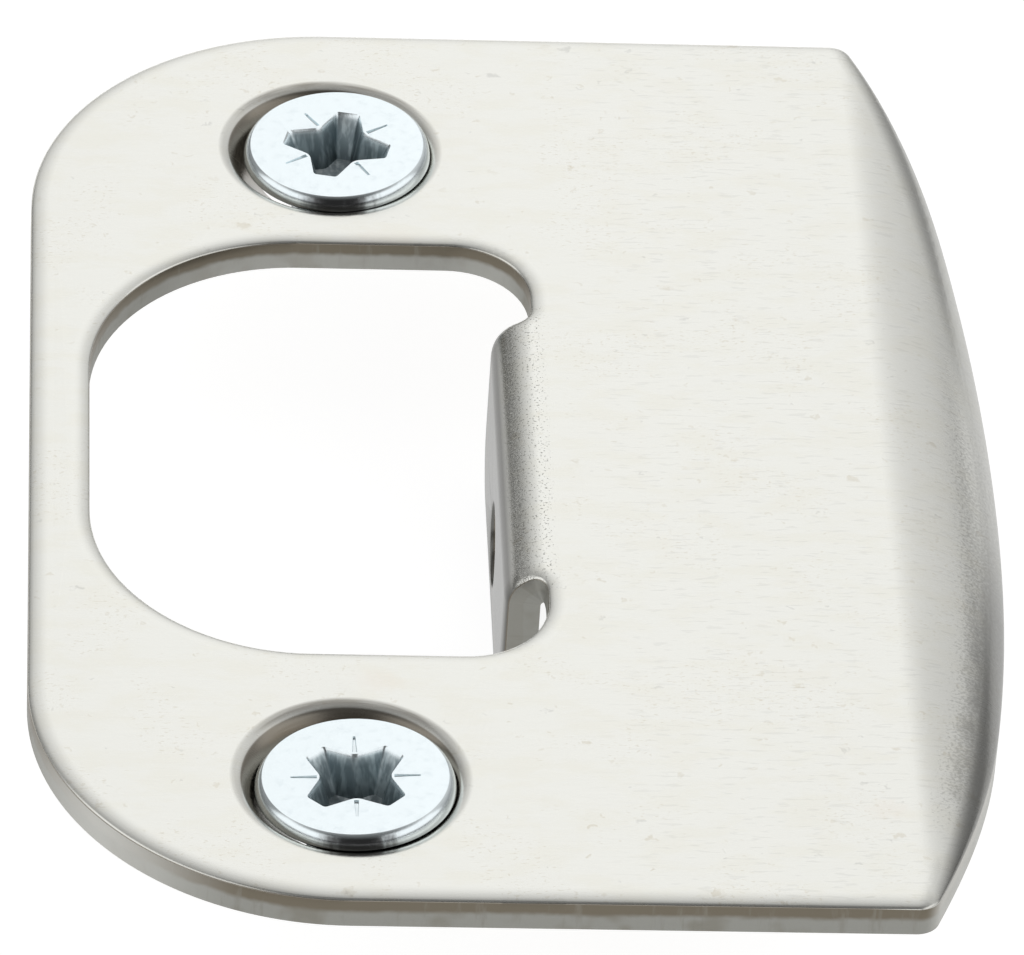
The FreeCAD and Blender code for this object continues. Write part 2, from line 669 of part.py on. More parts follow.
def build_screw(name, side, which):
    """Countersunk machine screw with a cross recess, leaning in its hole."""
    body = make_body(name)
    section = make_sketch(body, "section", "XZ_Plane")
    draw_screw_profile(section)
    turned = make_feature(body, "PartDesign::Revolution", "turned_screw", section, Angle=360.0)
    turned.ReferenceAxis = (section, ["V_Axis"])
    doc.recompute()
    volume = body.Shape.Volume
    mouth = make_sketch(body, "recess_mouth", "XY_Plane")
    draw_recess(mouth, 1.0, "")
    floor = make_sketch(body, "recess_floor", "XY_Plane", "-<recess_depth>")
    draw_recess(floor, size["recess_taper"], " * <recess_taper>")
    doc.recompute()
    recess = make_feature(body, "PartDesign::SubtractiveLoft", "drive_recess", mouth, Ruled=True)
    recess.Sections = [floor]
    recompute_cut(body, volume)

    across = size[which + "_shift_across"]
    along = size[which + "_shift_along"]
    lean, bearing = size[which + "_lean"], size[which + "_bearing"]
    widest = size["head_edge_height"] + size["head_land"]
    facing = math.radians(bearing)
    tilt = Rotation(Vector(-math.sin(facing), math.cos(facing), 0), lean)
    spin = Rotation(Vector(0, 0, 1), size[which + "_turn"])
    middle = Vector(across, size["hole_row_shift"] + side * half_spacing + along,
                    seat_height(across, along, lean, bearing))
    body.Placement = Placement(middle + tilt.multVec(Vector(0, 0, widest)), tilt.multiply(spin))
    return body


def check_and_write(bodies):
    """Stop if anything failed, then write each sub-part to its own file."""
    doc.recompute()
    for item in doc.Objects:
        if "Invalid" in item.State or "Error" in item.State:
            raise RuntimeError("%s could not be worked out" % item.Name)
    os.makedirs("parts", exist_ok=True)
    for body in bodies:
        shape = body.Shape
        if shape.isNull() or not shape.isValid() or len(shape.Solids) != 1:
            raise RuntimeError("%s is not one good solid" % body.Label)
        shape.exportStep(os.path.join("parts", body.Label + ".step"))
        box = shape.optimalBoundingBox()
        print("%s: %.1f mm3, X %.2f to %.2f, Y %.2f to %.2f, Z %.2f to %.2f"
              % (body.Label, shape.Volume, box.XMin, box.XMax, box.YMin, box.YMax, box.ZMin, box.ZMax))


plate = build_plate()
upper = build_screw("upper_screw", 1, "upper")
lower = build_screw("lower_screw", -1, "lower")
check_and_write([plate, upper, lower])
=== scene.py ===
"""Looks of a full-lip door strike plate and its two countersunk screws."""
import json
import logging
import math
from dataclasses import dataclass, field
from enum import Enum
from typing import Callable, Iterable, Sequence

import bmesh
import bpy
from mathutils import Matrix, Vector


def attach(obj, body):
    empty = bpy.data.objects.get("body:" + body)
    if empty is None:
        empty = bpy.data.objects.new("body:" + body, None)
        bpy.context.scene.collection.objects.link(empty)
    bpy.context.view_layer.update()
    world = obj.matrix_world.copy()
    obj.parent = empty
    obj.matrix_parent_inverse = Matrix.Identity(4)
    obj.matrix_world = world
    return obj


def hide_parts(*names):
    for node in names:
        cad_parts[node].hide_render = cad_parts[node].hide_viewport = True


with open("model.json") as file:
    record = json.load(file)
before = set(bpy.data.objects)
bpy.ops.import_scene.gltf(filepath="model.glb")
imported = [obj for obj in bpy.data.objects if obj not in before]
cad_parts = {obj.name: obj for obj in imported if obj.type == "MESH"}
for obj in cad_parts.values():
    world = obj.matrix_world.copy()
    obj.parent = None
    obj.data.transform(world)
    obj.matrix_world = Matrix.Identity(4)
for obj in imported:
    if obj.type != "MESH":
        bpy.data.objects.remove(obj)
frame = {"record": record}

logging.basicConfig(level=logging.INFO, format="%(message)s")
log = logging.getLogger("strike_plate")

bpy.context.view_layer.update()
MM = 0.001
Socket = bpy.types.NodeSocket
TINY = 1e-4
QUARTER = math.pi / 2


class Layer(Enum):
    """Values that a mesh carries at its vertices for its materials to read."""

    BLANK = "blank"


class Skin(Enum):
    """Material indices of the plate's mesh."""

    FACE = 0
    SHEARED = 1


# ---------------------------------------------------------------- node helpers


class Nodes:
    """Short words for building one node tree."""

    def __init__(self, tree: bpy.types.NodeTree) -> None:
        """Empty a node tree and keep it.

        Args:
            tree: the tree of a material or of the world.
        """
        self.tree = tree
        tree.nodes.clear()

    def add(self, kind: str, **settings: object) -> bpy.types.Node:
        """Add a node and set its properties.

        Args:
            kind: the node's type name.
            settings: properties of the node and their values.

        Returns:
            The new node.
        """
        node = self.tree.nodes.new(kind)
        for key, value in settings.items():
            setattr(node, key, value)
        return node

    def feed(self, socket: Socket, value: object) -> None:
        """Link a socket to another one, or set it to a constant."""
        if isinstance(value, Socket):
            self.tree.links.new(value, socket)
        else:
            socket.default_value = value

    def maths(self, operation: str, first: object, second: object = 0.0, extra: object = 0.0) -> Socket:
        """Result of a Math node.

        Args:
            operation: name of the operation.
            first: first number or socket.
            second: second number or socket.
            extra: third number or socket, for the few operations that have one.

        Returns:
            The node's output.
        """
        node = self.add("ShaderNodeMath", operation=operation)
        for socket, number in zip(node.inputs, (first, second, extra)):
            self.feed(socket, number)
        return node.outputs[0]

    def times(self, first: object, second: object) -> Socket:
        """Product of two values."""
        return self.maths("MULTIPLY", first, second)

    def plus(self, first: object, second: object) -> Socket:
        """Sum of two values."""
        return self.maths("ADD", first, second)

    def minus(self, first: object, second: object) -> Socket:
        """The second value taken from the first."""
        return self.maths("SUBTRACT", first, second)

    def step(self, value: object, low: float, high: float, start: float = 0.0, end: float = 1.0) -> Socket:
        """Smooth change of a value between two limits.

        Args:
            value: number or socket that is looked at.
            low: where the change starts.
            high: where the change ends.
            start: result below low.
            end: result above high.

        Returns:
            The changed value.
        """
        node = self.add("ShaderNodeMapRange", interpolation_type="SMOOTHSTEP")
        for socket, number in zip(node.inputs, (value, low, high, start, end)):
            self.feed(socket, number)
        return node.outputs[0]

    def mapped(self, vector: object, scale: Sequence[float], turn: float = 0.0) -> Socket:
        """Vector with its axes stretched, after a turn about Z in degrees."""
        node = self.add("ShaderNodeMapping")
        self.feed(node.inputs["Vector"], vector)
        node.inputs["Rotation"].default_value = (0.0, 0.0, math.radians(turn))
        node.inputs["Scale"].default_value = scale
        return node.outputs[0]

    def noise(self, vector: object, scale: float, detail: float = 3.0, roughness: float = 0.55,
              spread: str = "2D") -> Socket:
        """Cloudy noise.

        Args:
            vector: where the noise is read.
            scale: lumps per unit.
            detail: octaves.
            roughness: weight of the fine octaves.
            spread: 2D for a pattern on the sheet's face, 3D for one that also changes with height.

        Returns:
            The noise, about 0.5 in the middle.
        """
        node = self.add("ShaderNodeTexNoise", noise_dimensions=spread)
        self.feed(node.inputs["Vector"], vector)
        for name, value in (("Scale", scale), ("Detail", detail), ("Roughness", roughness)):
            node.inputs[name].default_value = value
        return node.outputs["Fac"]

    def spots(self, vector: object, scale: float, radius: float, share: float) -> list[Socket]:
        """Scattered soft spots.

        Args:
            vector: where the pattern is read.
            scale: cells per unit, one spot at most in each.
            radius: radius of a spot as a share of a cell.
            share: how many of the cells have one.

        Returns:
            How much of a spot there is, and a number that differs from spot to spot.
        """
        node = self.add("ShaderNodeTexVoronoi", voronoi_dimensions="2D")
        self.feed(node.inputs["Vector"], vector)
        node.inputs["Scale"].default_value = scale
        red, green, blue = self.split(node.outputs["Color"])
        own_radius = self.between(blue, 0.4 * radius, radius)
        inside = self.step(node.outputs["Distance"], self.times(own_radius, 0.3), own_radius, 1.0, 0.0)
        there = self.maths("GREATER_THAN", share, red)
        return [self.times(inside, there), green]

    def ramp(self, value: object, stops: Sequence[tuple[float, float]]) -> Socket:
        """Number that follows straight runs between stops of place and height."""
        node = self.add("ShaderNodeValToRGB")
        self.feed(node.inputs[0], value)
        elements = node.color_ramp.elements
        elements[0].position, elements[1].position = stops[0][0], stops[-1][0]
        for place, _ in stops[1:-1]:
            elements.new(place)
        for element, (_, height) in zip(elements, stops):
            element.color = (height, height, height, 1.0)
        return node.outputs["Color"]

    def joined(self, across: object, along: object, height: object) -> Socket:
        """Vector made of three numbers."""
        node = self.add("ShaderNodeCombineXYZ")
        for socket, number in zip(node.inputs, (across, along, height)):
            self.feed(socket, number)
        return node.outputs[0]

    def length(self, across: object, along: object) -> Socket:
        """Distance from the middle."""
        return self.maths("SQRT", self.plus(self.times(across, across),
                                             self.times(along, along)))

    def between(self, share: object, first: object, second: object) -> Socket:
        """Number between two others."""
        return self.plus(first, self.times(share, self.minus(second, first)))

    def blend(self, share: object, first: object, second: object) -> Socket:
        """Mix of two colours.

        Args:
            share: how much of the second one.
            first: colour or socket.
            second: colour or socket.

        Returns:
            The mixed colour.
        """
        node = self.add("ShaderNodeMix", data_type="RGBA")
        colours = [socket for socket in node.inputs if socket.type == "RGBA"]
        self.feed(node.inputs[0], share)
        self.feed(colours[0], first)
        self.feed(colours[1], second)
        return next(socket for socket in node.outputs if socket.type == "RGBA")

    def attribute(self, layer: Layer) -> bpy.types.Node:
        """Node that reads one of the mesh's own values."""
        return self.add("ShaderNodeAttribute", attribute_name=layer.value)

    def split(self, vector: object) -> list[Socket]:
        """The three parts of a vector."""
        node = self.add("ShaderNodeSeparateXYZ")
        self.feed(node.inputs[0], vector)
        return list(node.outputs)

    def bump(self, height: object, strength: float, depth: float, under: object = None) -> Socket:
        """Normal with a relief.

        Args:
            height: the relief, 0 to 1.
            strength: how much of it shows.
            depth: its depth in metres.
            under: the normal of a coarser relief below this one.

        Returns:
            The changed normal.
        """
        node = self.add("ShaderNodeBump")
        node.inputs["Strength"].default_value = strength
        node.inputs["Distance"].default_value = depth
        self.feed(node.inputs["Height"], height)
        if under is not None:
            self.feed(node.inputs["Normal"], under)
        return node.outputs[0]


# -------------------------------------------------------------------- finishes


@dataclass(frozen=True)
class SatinNickel:
    """Satin nickel plating on the face of the sheet, broken up where the sheet is bent, with painted shade down
    the lip, on the tab's bend and in the countersinks.
    """

    name: str = "satin_nickel"
    colour: tuple[float, ...] = (0.835, 0.835, 0.79, 1.0)
    warm: tuple[float, ...] = (0.80, 0.78, 0.68, 1.0)
    olive: tuple[float, ...] = (0.50, 0.42, 0.27, 1.0)
    grey: tuple[float, ...] = (0.30, 0.30, 0.29, 1.0)
    peach: tuple[float, ...] = (0.80, 0.68, 0.56, 1.0)
    # painted shade for the tab's bend and leg
    bend_shade: tuple[float, ...] = (0.115, 0.114, 0.107, 1.0)
    crack: tuple[float, ...] = (0.16, 0.155, 0.14, 1.0)
    # brown for the countersinks, partly painted shade beside the heads, and for the rolled edges
    brown: tuple[float, ...] = (0.18, 0.155, 0.12, 1.0)
    # painted shade down the lip
    shade: tuple[float, ...] = (0.115, 0.115, 0.11, 1.0)
    roughness: float = 0.265
    sheet: float = 1.5
    lip_grain: tuple[float, ...] = (2.6, 1.4)
    lip_start: float = 22.6
    lip_radius: float = 6.2
    lip_crown: float = 27.8
    lip_bow: float = 214.0
    tab_root: float = 8.37
    tab_half_width: float = 9.31
    hole_shift: float = 0.575
    hole_half_spacing: float = 20.775
    cone_start: float = 3.9

    def make(self) -> bpy.types.Material:
        """Build the material."""
        material = bpy.data.materials.new(self.name)
        material.use_nodes = True
        nodes = Nodes(material.node_tree)
        blank = nodes.attribute(Layer.BLANK).outputs["Vector"]
        across, along, height = nodes.split(blank)
        unrolled = self.unrolled(nodes, across, along, height)
        lip_cracks, painted_lip_shade = self.lip(nodes, unrolled, across, along)
        tab_cracks, steep_shade = self.tab(nodes, blank, across, along)
        cone_marks_and_shade = self.countersinks(nodes, across, along)

        colour = self.stained(nodes, blank)
        # painted shade down the tab's bend and leg
        colour = nodes.blend(steep_shade, colour, self.bend_shade)
        # painted shade down the lip
        colour = nodes.blend(painted_lip_shade, colour, self.shade)
        # countersinks: turning marks and rims, with painted shade beside the heads and on their far sides
        colour = nodes.blend(cone_marks_and_shade, colour, self.brown)
        colour = nodes.blend(nodes.times(lip_cracks, 0.30), colour, self.crack)
        colour = nodes.blend(nodes.times(tab_cracks, 0.50), colour, self.crack)
        fallen = nodes.times(nodes.step(height, self.sheet - 0.19, self.sheet - 0.13, 0.85, 0.0),
                             nodes.step(across, 20.0, 22.5, 1.0, 0.15))
        colour = nodes.blend(fallen, colour, self.brown)

        lines = nodes.noise(nodes.mapped(unrolled, (0.5, 16.0, 1.0), 3.0), 1.0, 4.0, 0.7)
        roughness = nodes.plus(nodes.times(lines, 0.05), self.roughness - 0.025)
        roughness = nodes.plus(roughness, nodes.times(tab_cracks, 0.15))
        grain = nodes.noise(unrolled, 9.0, 2.0, 0.6)
        relief = nodes.bump(nodes.times(tab_cracks, -1.0), 0.4, 0.00003)
        lined = nodes.step(across, self.lip_start - 1.0, self.lip_start + 0.5, 0.35, 0.0)
        steady = nodes.step(across, self.lip_start + 1.5, self.lip_start + 3.2, 1.0, 0.12)
        relief = nodes.bump(nodes.times(nodes.between(lined, grain, lines), steady), 0.08, 0.00002, relief)

        shader = nodes.add("ShaderNodeBsdfPrincipled")
        shader.inputs["Metallic"].default_value = 1.0
        nodes.feed(shader.inputs["Base Color"], colour)
        nodes.feed(shader.inputs["Roughness"], roughness)
        nodes.feed(shader.inputs["Normal"], relief)
        nodes.feed(nodes.add("ShaderNodeOutputMaterial").inputs["Surface"], shader.outputs[0])
        return material

    def unrolled(self, nodes: Nodes, across: object, along: object, height: object) -> Socket:
        """Place on the sheet, measured along its face, so that grain keeps its size down the lip."""
        share = nodes.maths("DIVIDE", nodes.minus(across, self.lip_start), self.lip_radius)
        run = nodes.times(nodes.maths("ARCSINE", nodes.maths("MAXIMUM", share, 0.0)), self.lip_radius)
        return nodes.joined(nodes.plus(nodes.maths("MINIMUM", across, self.lip_start), run), along, height)

    def lip(self, nodes: Nodes, blank: object, across: object, along: object) -> tuple[object, object]:
        """Orange peel, and painted shade where the lip bends down.

        Args:
            nodes: the material's tree.
            blank: place on the sheet.
            across: its part towards the lip.
            along: its part along the plate.

        Returns:
            How cracked the plating is, and how much painted shade lies on it.
        """
        start, full = self.lip_grain
        bow = nodes.maths("DIVIDE", nodes.times(along, along), self.lip_bow)
        inward = nodes.minus(nodes.minus(self.lip_crown, bow), across)
        middle = nodes.step(along, -2.0, 9.0, 1.0, 0.0)
        near = nodes.step(along, -25.0, -20.0)
        dense = nodes.times(nodes.step(inward, full, start, 1.0, 0.0), nodes.times(middle, near))
        pebbles = nodes.noise(nodes.mapped(blank, (6.0, 8.0, 1.0)), 1.0, 3.0, 0.65)
        lifted = nodes.plus(pebbles, nodes.times(dense, 0.22))
        cracks = nodes.times(nodes.step(lifted, 0.61, 0.80), nodes.step(dense, 0.0, 0.15))
        # painted shade on the lip: a dark patch on its near half, a band along its outer edge and a faint grey
        # where the bend starts
        wave = nodes.times(nodes.minus(nodes.noise(blank, 0.9, 3.0), 0.5), 0.9)
        dark = nodes.step(nodes.plus(inward, wave), 0.7, 2.1, 0.60, 0.0)
        dark = nodes.times(dark, nodes.times(nodes.step(along, -13.5, -4.5, 1.0, 0.10),
                                                         nodes.step(along, -24.5, -19.0, 0.40, 1.0)))
        outer = nodes.times(nodes.step(inward, 0.6, 1.5, 0.56, 0.0), nodes.step(along, -10.0, 0.0, 1.50, 1.0))
        early = nodes.times(nodes.step(across, 22.2, 23.6, 0.0, 0.10),
                            nodes.step(along, -18.0, -6.0, 1.0, 0.0))
        painted_lip_shade = nodes.maths("MAXIMUM", nodes.maths("MAXIMUM", dark, early), outer)
        return cracks, painted_lip_shade

    def tab(self, nodes: Nodes, blank: object, across: object, along: object) -> tuple[object, object]:
        """Specks, and painted shade where the tab bends down.

        Args:
            nodes: the material's tree.
            blank: place on the blank.
            across: its part towards the lip.
            along: its part along the plate.

        Returns:
            How cracked the plating is, and how much painted shade lies on it.
        """
        beside = nodes.step(nodes.maths("ABSOLUTE", along), self.tab_half_width, self.tab_half_width + 0.1,
                            1.0, 0.0)
        inside = nodes.times(beside, nodes.step(across, -3.0, -2.5))
        run = nodes.minus(self.tab_root, across)
        place = nodes.times(nodes.plus(run, 1.0), 0.2)
        dense = nodes.ramp(place, ((0.0, 0.0), (0.08, 0.0), (0.20, 0.10), (0.26, 0.12), (0.32, 0.18),
                                   (0.37, 0.55),
                                   (0.42, 0.95), (0.48, 0.40), (0.53, 0.0)))
        specks = nodes.noise(nodes.mapped(blank, (8.5, 9.5, 1.0)), 1.0, 2.0, 0.6)
        lifted = nodes.plus(specks, nodes.times(dense, 0.24))
        inside_bend = nodes.times(inside, nodes.step(dense, 0.0, 0.08))
        cracks = nodes.times(nodes.step(lifted, 0.66, 0.76), inside_bend)
        # painted shade, growing down the tab's bend to its leg
        steep_shade = nodes.ramp(place, ((0.0, 0.0), (0.25, 0.0), (0.294, 0.02), (0.338, 0.04), (0.384, 0.10),
                                   (0.436, 0.25),
                                   (0.496, 0.56), (0.58, 0.94), (0.64, 0.985), (0.74, 0.965), (1.0, 0.965)))
        return cracks, nodes.times(inside, steep_shade)

    def countersinks(self, nodes: Nodes, across: object, along: object) -> object:
        """How brown the countersinks are: turning marks, fuzzy rims and painted shade beside the heads, with
        painted shade making the far side of each hole darker.
        """
        shifted = nodes.plus(along, self.hole_shift)
        beyond = nodes.minus(nodes.maths("ABSOLUTE", shifted), self.hole_half_spacing)
        radius = nodes.length(across, beyond)
        turned = nodes.noise(nodes.joined(nodes.maths("DIVIDE", across, radius),
                                          nodes.maths("DIVIDE", beyond, radius),
                                          nodes.times(radius, 3.0)), 1.6, 2.0, 0.6, "3D")
        place = nodes.minus(radius, self.cone_start)
        brown = nodes.ramp(place, ((0.0, 0.85), (0.20, 0.78), (0.34, 0.42), (0.46, 0.14), (0.58, 0.14),
                                   (0.70, 0.46),
                                   (0.80, 0.56), (0.90, 0.30), (1.0, 0.0)))
        # painted shade: each countersink darker on its far side
        far = nodes.maths("DIVIDE", nodes.times(beyond, nodes.maths("SIGN", shifted)), radius)
        brown = nodes.times(brown, nodes.step(far, 0.35, 0.85, 0.18, 1.0))
        return nodes.times(brown, nodes.step(turned, 0.34, 0.66, 0.45, 1.15))

    def stained(self, nodes: Nodes, blank: object) -> Socket:
        """Colour of the plating with its tints, stains and pits."""
        clouds = nodes.noise(nodes.mapped(blank, (0.35, 0.8, 1.0)), 1.0, 4.0, 0.6)
        colour = nodes.blend(nodes.step(clouds, 0.42, 0.68, 0.0, 0.28), self.colour, self.warm)
        wobble = nodes.add("ShaderNodeTexNoise", noise_dimensions="2D")
        nodes.feed(wobble.inputs["Vector"], blank)
        wobble.inputs["Scale"].default_value = 2.6
        shaken = nodes.add("ShaderNodeVectorMath", operation="MULTIPLY_ADD")
        nodes.feed(shaken.inputs[0], wobble.outputs["Color"])
        shaken.inputs[1].default_value = (0.75, 0.55, 0.0)
        nodes.feed(shaken.inputs[2], blank)
        flat = nodes.mapped(shaken.outputs[0], (0.66, 1.0, 1.0))
        for scale, radius, share, strength in ((0.42, 0.13, 0.13, 0.24), (0.9, 0.15, 0.12, 0.20),
                                               (2.1, 0.22, 0.12, 0.16)):
            spot, own = nodes.spots(flat, scale, radius, share)
            shade = nodes.blend(nodes.maths("GREATER_THAN", own, 0.72), self.olive, self.grey)
            colour = nodes.blend(nodes.times(spot, strength), colour, shade)
        near = nodes.times(nodes.step(nodes.split(blank)[1], -18.0, -8.0, 1.0, 0.35), 0.26)
        spot, _ = nodes.spots(flat, 0.62, 0.12, 0.14)
        colour = nodes.blend(nodes.times(spot, near), colour, self.olive)
        dashes = nodes.step(nodes.noise(nodes.mapped(blank, (0.9, 5.5, 1.0)), 1.0, 2.0, 0.5), 0.60, 0.72)
        right = nodes.step(nodes.split(blank)[0], 8.0, 14.0)
        colour = nodes.blend(nodes.times(nodes.times(dashes, right), 0.10), colour, self.grey)
        patch, _ = nodes.spots(flat, 0.085, 0.16, 0.28)
        colour = nodes.blend(nodes.times(patch, 0.14), colour, self.peach)
        clusters = nodes.step(nodes.noise(blank, 0.22, 2.0), 0.50, 0.62)
        dots = nodes.step(nodes.noise(nodes.mapped(blank, (3.5, 9.0, 1.0)), 1.0, 2.0, 0.5), 0.62, 0.74)
        return nodes.blend(nodes.times(nodes.times(dots, clusters), 0.22), colour, self.olive)


@dataclass(frozen=True)
class ShearedEdge:
    """Sheared side of the sheet: a burnished land above a torn grey face. The land's dark brown is a painted
    reflection, and painted light makes the sides paler at the near left corner, along the lip and towards the far
    end.
    """

    name: str = "sheared_edge"
    # dark brown of the burnished land is a painted reflection; it also colours dark streaks on the torn face
    land: tuple[float, ...] = (0.165, 0.145, 0.110, 1.0)
    torn: tuple[float, ...] = (0.325, 0.325, 0.300, 1.0)
    stain: tuple[float, ...] = (0.215, 0.200, 0.160, 1.0)
    # pale: painted light on the sides
    pale: tuple[float, ...] = (0.62, 0.62, 0.59, 1.0)
    land_foot: float = 0.76

    def make(self) -> bpy.types.Material:
        """Build the material."""
        material = bpy.data.materials.new(self.name)
        material.use_nodes = True
        nodes = Nodes(material.node_tree)
        blank = nodes.attribute(Layer.BLANK).outputs["Vector"]
        across, along, height = nodes.split(blank)
        ragged = nodes.times(nodes.minus(nodes.noise(blank, 1.1, 2.0, spread="3D"), 0.5), 0.28)
        torn = nodes.step(nodes.plus(height, ragged), self.land_foot - 0.16, self.land_foot + 0.14, 1.0, 0.0)
        at_tab = nodes.times(nodes.step(nodes.maths("ABSOLUTE", along), 9.7, 10.1, 1.0, 0.0),
                             nodes.times(nodes.step(across, -3.0, -2.5),
                                         nodes.step(across, 8.6, 9.0, 1.0, 0.0)))
        torn = nodes.maths("MAXIMUM", torn, nodes.times(at_tab, 0.85))
        streaks = nodes.noise(nodes.mapped(blank, (2.4, 2.4, 0.35)), 1.0, 3.0, 0.6, "3D")
        patches = nodes.step(nodes.noise(blank, 0.5, 2.0, spread="3D"), 0.50, 0.68)
        bare = nodes.blend(nodes.times(patches, 0.5), self.torn, self.stain)
        bare = nodes.blend(nodes.step(streaks, 0.54, 0.74, 0.0, 0.22), bare, self.land)
        smooth = nodes.blend(nodes.step(streaks, 0.56, 0.75, 0.0, 0.25), self.land, self.torn)
        # painted light: the sides paler at the near left corner
        corner = nodes.times(nodes.step(across, -10.5, -4.0, 1.0, 0.0),
                             nodes.step(along, -24.5, -17.0, 1.0, 0.0))
        colour = nodes.blend(nodes.times(corner, 0.78), nodes.blend(torn, smooth, bare), self.pale)
        # painted light: paler sides along the lip, and on the torn face towards the far end
        colour = nodes.blend(nodes.step(across, 22.6, 23.4, 0.0, 0.60), colour, self.pale)
        colour = nodes.blend(nodes.times(torn, nodes.step(along, 11.0, 13.0, 0.0, 0.30)), colour, self.pale)
        shader = nodes.add("ShaderNodeBsdfPrincipled")
        shader.inputs["Metallic"].default_value = 0.9
        nodes.feed(shader.inputs["Base Color"], colour)
        nodes.feed(shader.inputs["Roughness"], nodes.plus(nodes.times(torn, 0.18), 0.40))
        nodes.feed(shader.inputs["Normal"], nodes.bump(nodes.times(torn, streaks), 0.4, 0.00006))
        nodes.feed(nodes.add("ShaderNodeOutputMaterial").inputs["Surface"], shader.outputs[0])
        return material


@dataclass(frozen=True)
class BrightZinc:
    """Bright bluish zinc on the screws, with painted shade down in the recess and the thread and on the near side
    of each head's rim.
    """

    name: str = "bright_zinc"
    colour: tuple[float, ...] = (0.84, 0.91, 0.935, 1.0)
    cool: tuple[float, ...] = (0.70, 0.78, 0.82, 1.0)
    # painted shade in the recess and down the thread
    deep: tuple[float, ...] = (0.32, 0.38, 0.405, 1.0)
    streak: tuple[float, ...] = (0.72, 0.80, 0.82, 1.0)
    # painted shade: darkest at the bottom of the recess and on the near side of each head's rim
    deep_shade: tuple[float, ...] = (0.045, 0.04, 0.04, 1.0)
    roughness: float = 0.20
    heads: tuple[tuple[float, float], ...] = ((0.30, 19.88), (0.19, -21.65))

    def make(self) -> bpy.types.Material:
        """Build the material."""
        material = bpy.data.materials.new(self.name)
        material.use_nodes = True
        nodes = Nodes(material.node_tree)
        own = nodes.attribute(Layer.BLANK).outputs["Vector"]
        across, along, depth = nodes.split(own)
        recessed = nodes.step(nodes.length(across, along), 2.75, 2.9, 1.0, 0.0)
        # painted shade down in the recess and the thread
        deep = nodes.times(recessed, nodes.step(depth, -0.30, -0.03, 0.92, 0.0))
        mottled = nodes.noise(own, 1.8, 3.0, 0.6, "3D")
        fine = nodes.noise(own, 12.0, 2.0, 0.6, "3D")
        flutes = nodes.step(nodes.noise(nodes.mapped(own, (3.4, 3.4, 0.25)), 1.0, 2.0, 0.6, "3D"), 0.42, 0.66)
        colour = nodes.blend(nodes.step(mottled, 0.50, 0.75, 0.0, 0.35), self.colour, self.cool)
        colour = nodes.blend(deep, colour, nodes.blend(nodes.times(flutes, 0.8), self.deep, self.streak))
        # painted shade, darker still towards the bottom of the recess and down the thread
        low = nodes.times(recessed, nodes.step(depth, -1.9, -0.9, 0.35, 0.0))
        colour = nodes.blend(low, colour, self.deep_shade)
        # painted shade on the near side of each head's rim
        colour = nodes.blend(nodes.times(self.near_rim_shade(nodes, own, depth), 0.90), colour, self.deep_shade)
        shader = nodes.add("ShaderNodeBsdfPrincipled")
        shader.inputs["Metallic"].default_value = 1.0
        nodes.feed(shader.inputs["Base Color"], colour)
        roughness = nodes.plus(nodes.times(mottled, 0.10), self.roughness - 0.05)
        nodes.feed(shader.inputs["Roughness"], nodes.plus(roughness, nodes.times(deep, 0.2)))
        relief = nodes.bump(mottled, 0.12, 0.00005)
        nodes.feed(shader.inputs["Normal"], nodes.bump(fine, 0.08, 0.00002, relief))
        nodes.feed(nodes.add("ShaderNodeOutputMaterial").inputs["Surface"], shader.outputs[0])
        return material

    def near_rim_shade(self, nodes: Nodes, own: object, depth: object) -> Socket:
        """Painted shade on the rounded edge of a head, on the side towards the near end of the plate."""
        placed = nodes.add("ShaderNodeVectorMath", operation="SCALE")
        nodes.feed(placed.inputs[0], nodes.add("ShaderNodeTexCoord").outputs["Object"])
        placed.inputs["Scale"].default_value = 1.0 / MM
        across, along, _ = nodes.split(placed.outputs[0])
        below = nodes.maths("LESS_THAN", along, 0.0)
        middle = [nodes.between(below, upper, lower) for upper, lower in zip(*self.heads)]
        across = nodes.minus(across, middle[0])
        along = nodes.minus(along, middle[1])
        radius = nodes.length(across, along)
        toward = nodes.maths("DIVIDE", nodes.times(along, -1.0), radius)
        rough = nodes.times(nodes.minus(nodes.noise(own, 2.2, 3.0), 0.5), 0.10)
        side = nodes.step(nodes.plus(toward, rough), 0.89, 0.985)
        rim = nodes.times(nodes.step(radius, 3.76, 3.90), nodes.step(depth, -0.75, -0.60))
        return nodes.times(side, rim)


@dataclass(frozen=True)
class PaleFloor:
    """Plain pale floor under the part."""

    name: str = "pale_floor"
    colour: tuple[float, ...] = (0.35, 0.35, 0.35, 1.0)
    glow: float = 0.88

    def make(self) -> bpy.types.Material:
        """Build the material."""
        material = bpy.data.materials.new(self.name)
        material.use_nodes = True
        nodes = Nodes(material.node_tree)
        shader = nodes.add("ShaderNodeBsdfPrincipled")
        shader.inputs["Base Color"].default_value = self.colour
        shader.inputs["Roughness"].default_value = 0.9
        shader.inputs["Specular IOR Level"].default_value = 0.1
        shader.inputs["Emission Color"].default_value = (1.0, 1.0, 1.0, 1.0)
        shader.inputs["Emission Strength"].default_value = self.glow
        nodes.feed(nodes.add("ShaderNodeOutputMaterial").inputs["Surface"], shader.outputs[0])
        return material


# ----------------------------------------------------------------- mesh helpers


def open_edges(bm: bmesh.types.BMesh,
               wanted: Callable[[Vector], bool] = lambda point: True) -> list[bmesh.types.BMEdge]:
    """Edges with only one face.

    Args:
        bm: the mesh.
        wanted: test that both ends of an edge pass.

    Returns:
        The edges.
    """
    return [edge for edge in bm.edges
            if len(edge.link_faces) == 1 and all(wanted(vert.co) for vert in edge.verts)]


def chain(bm: bmesh.types.BMesh, points: Iterable[Sequence[float]]) -> list[bmesh.types.BMEdge]:
    """A few straight edges from point to point."""
    verts = [bm.verts.new(point) for point in points]
    return [bm.edges.new(pair) for pair in zip(verts, verts[1:])]


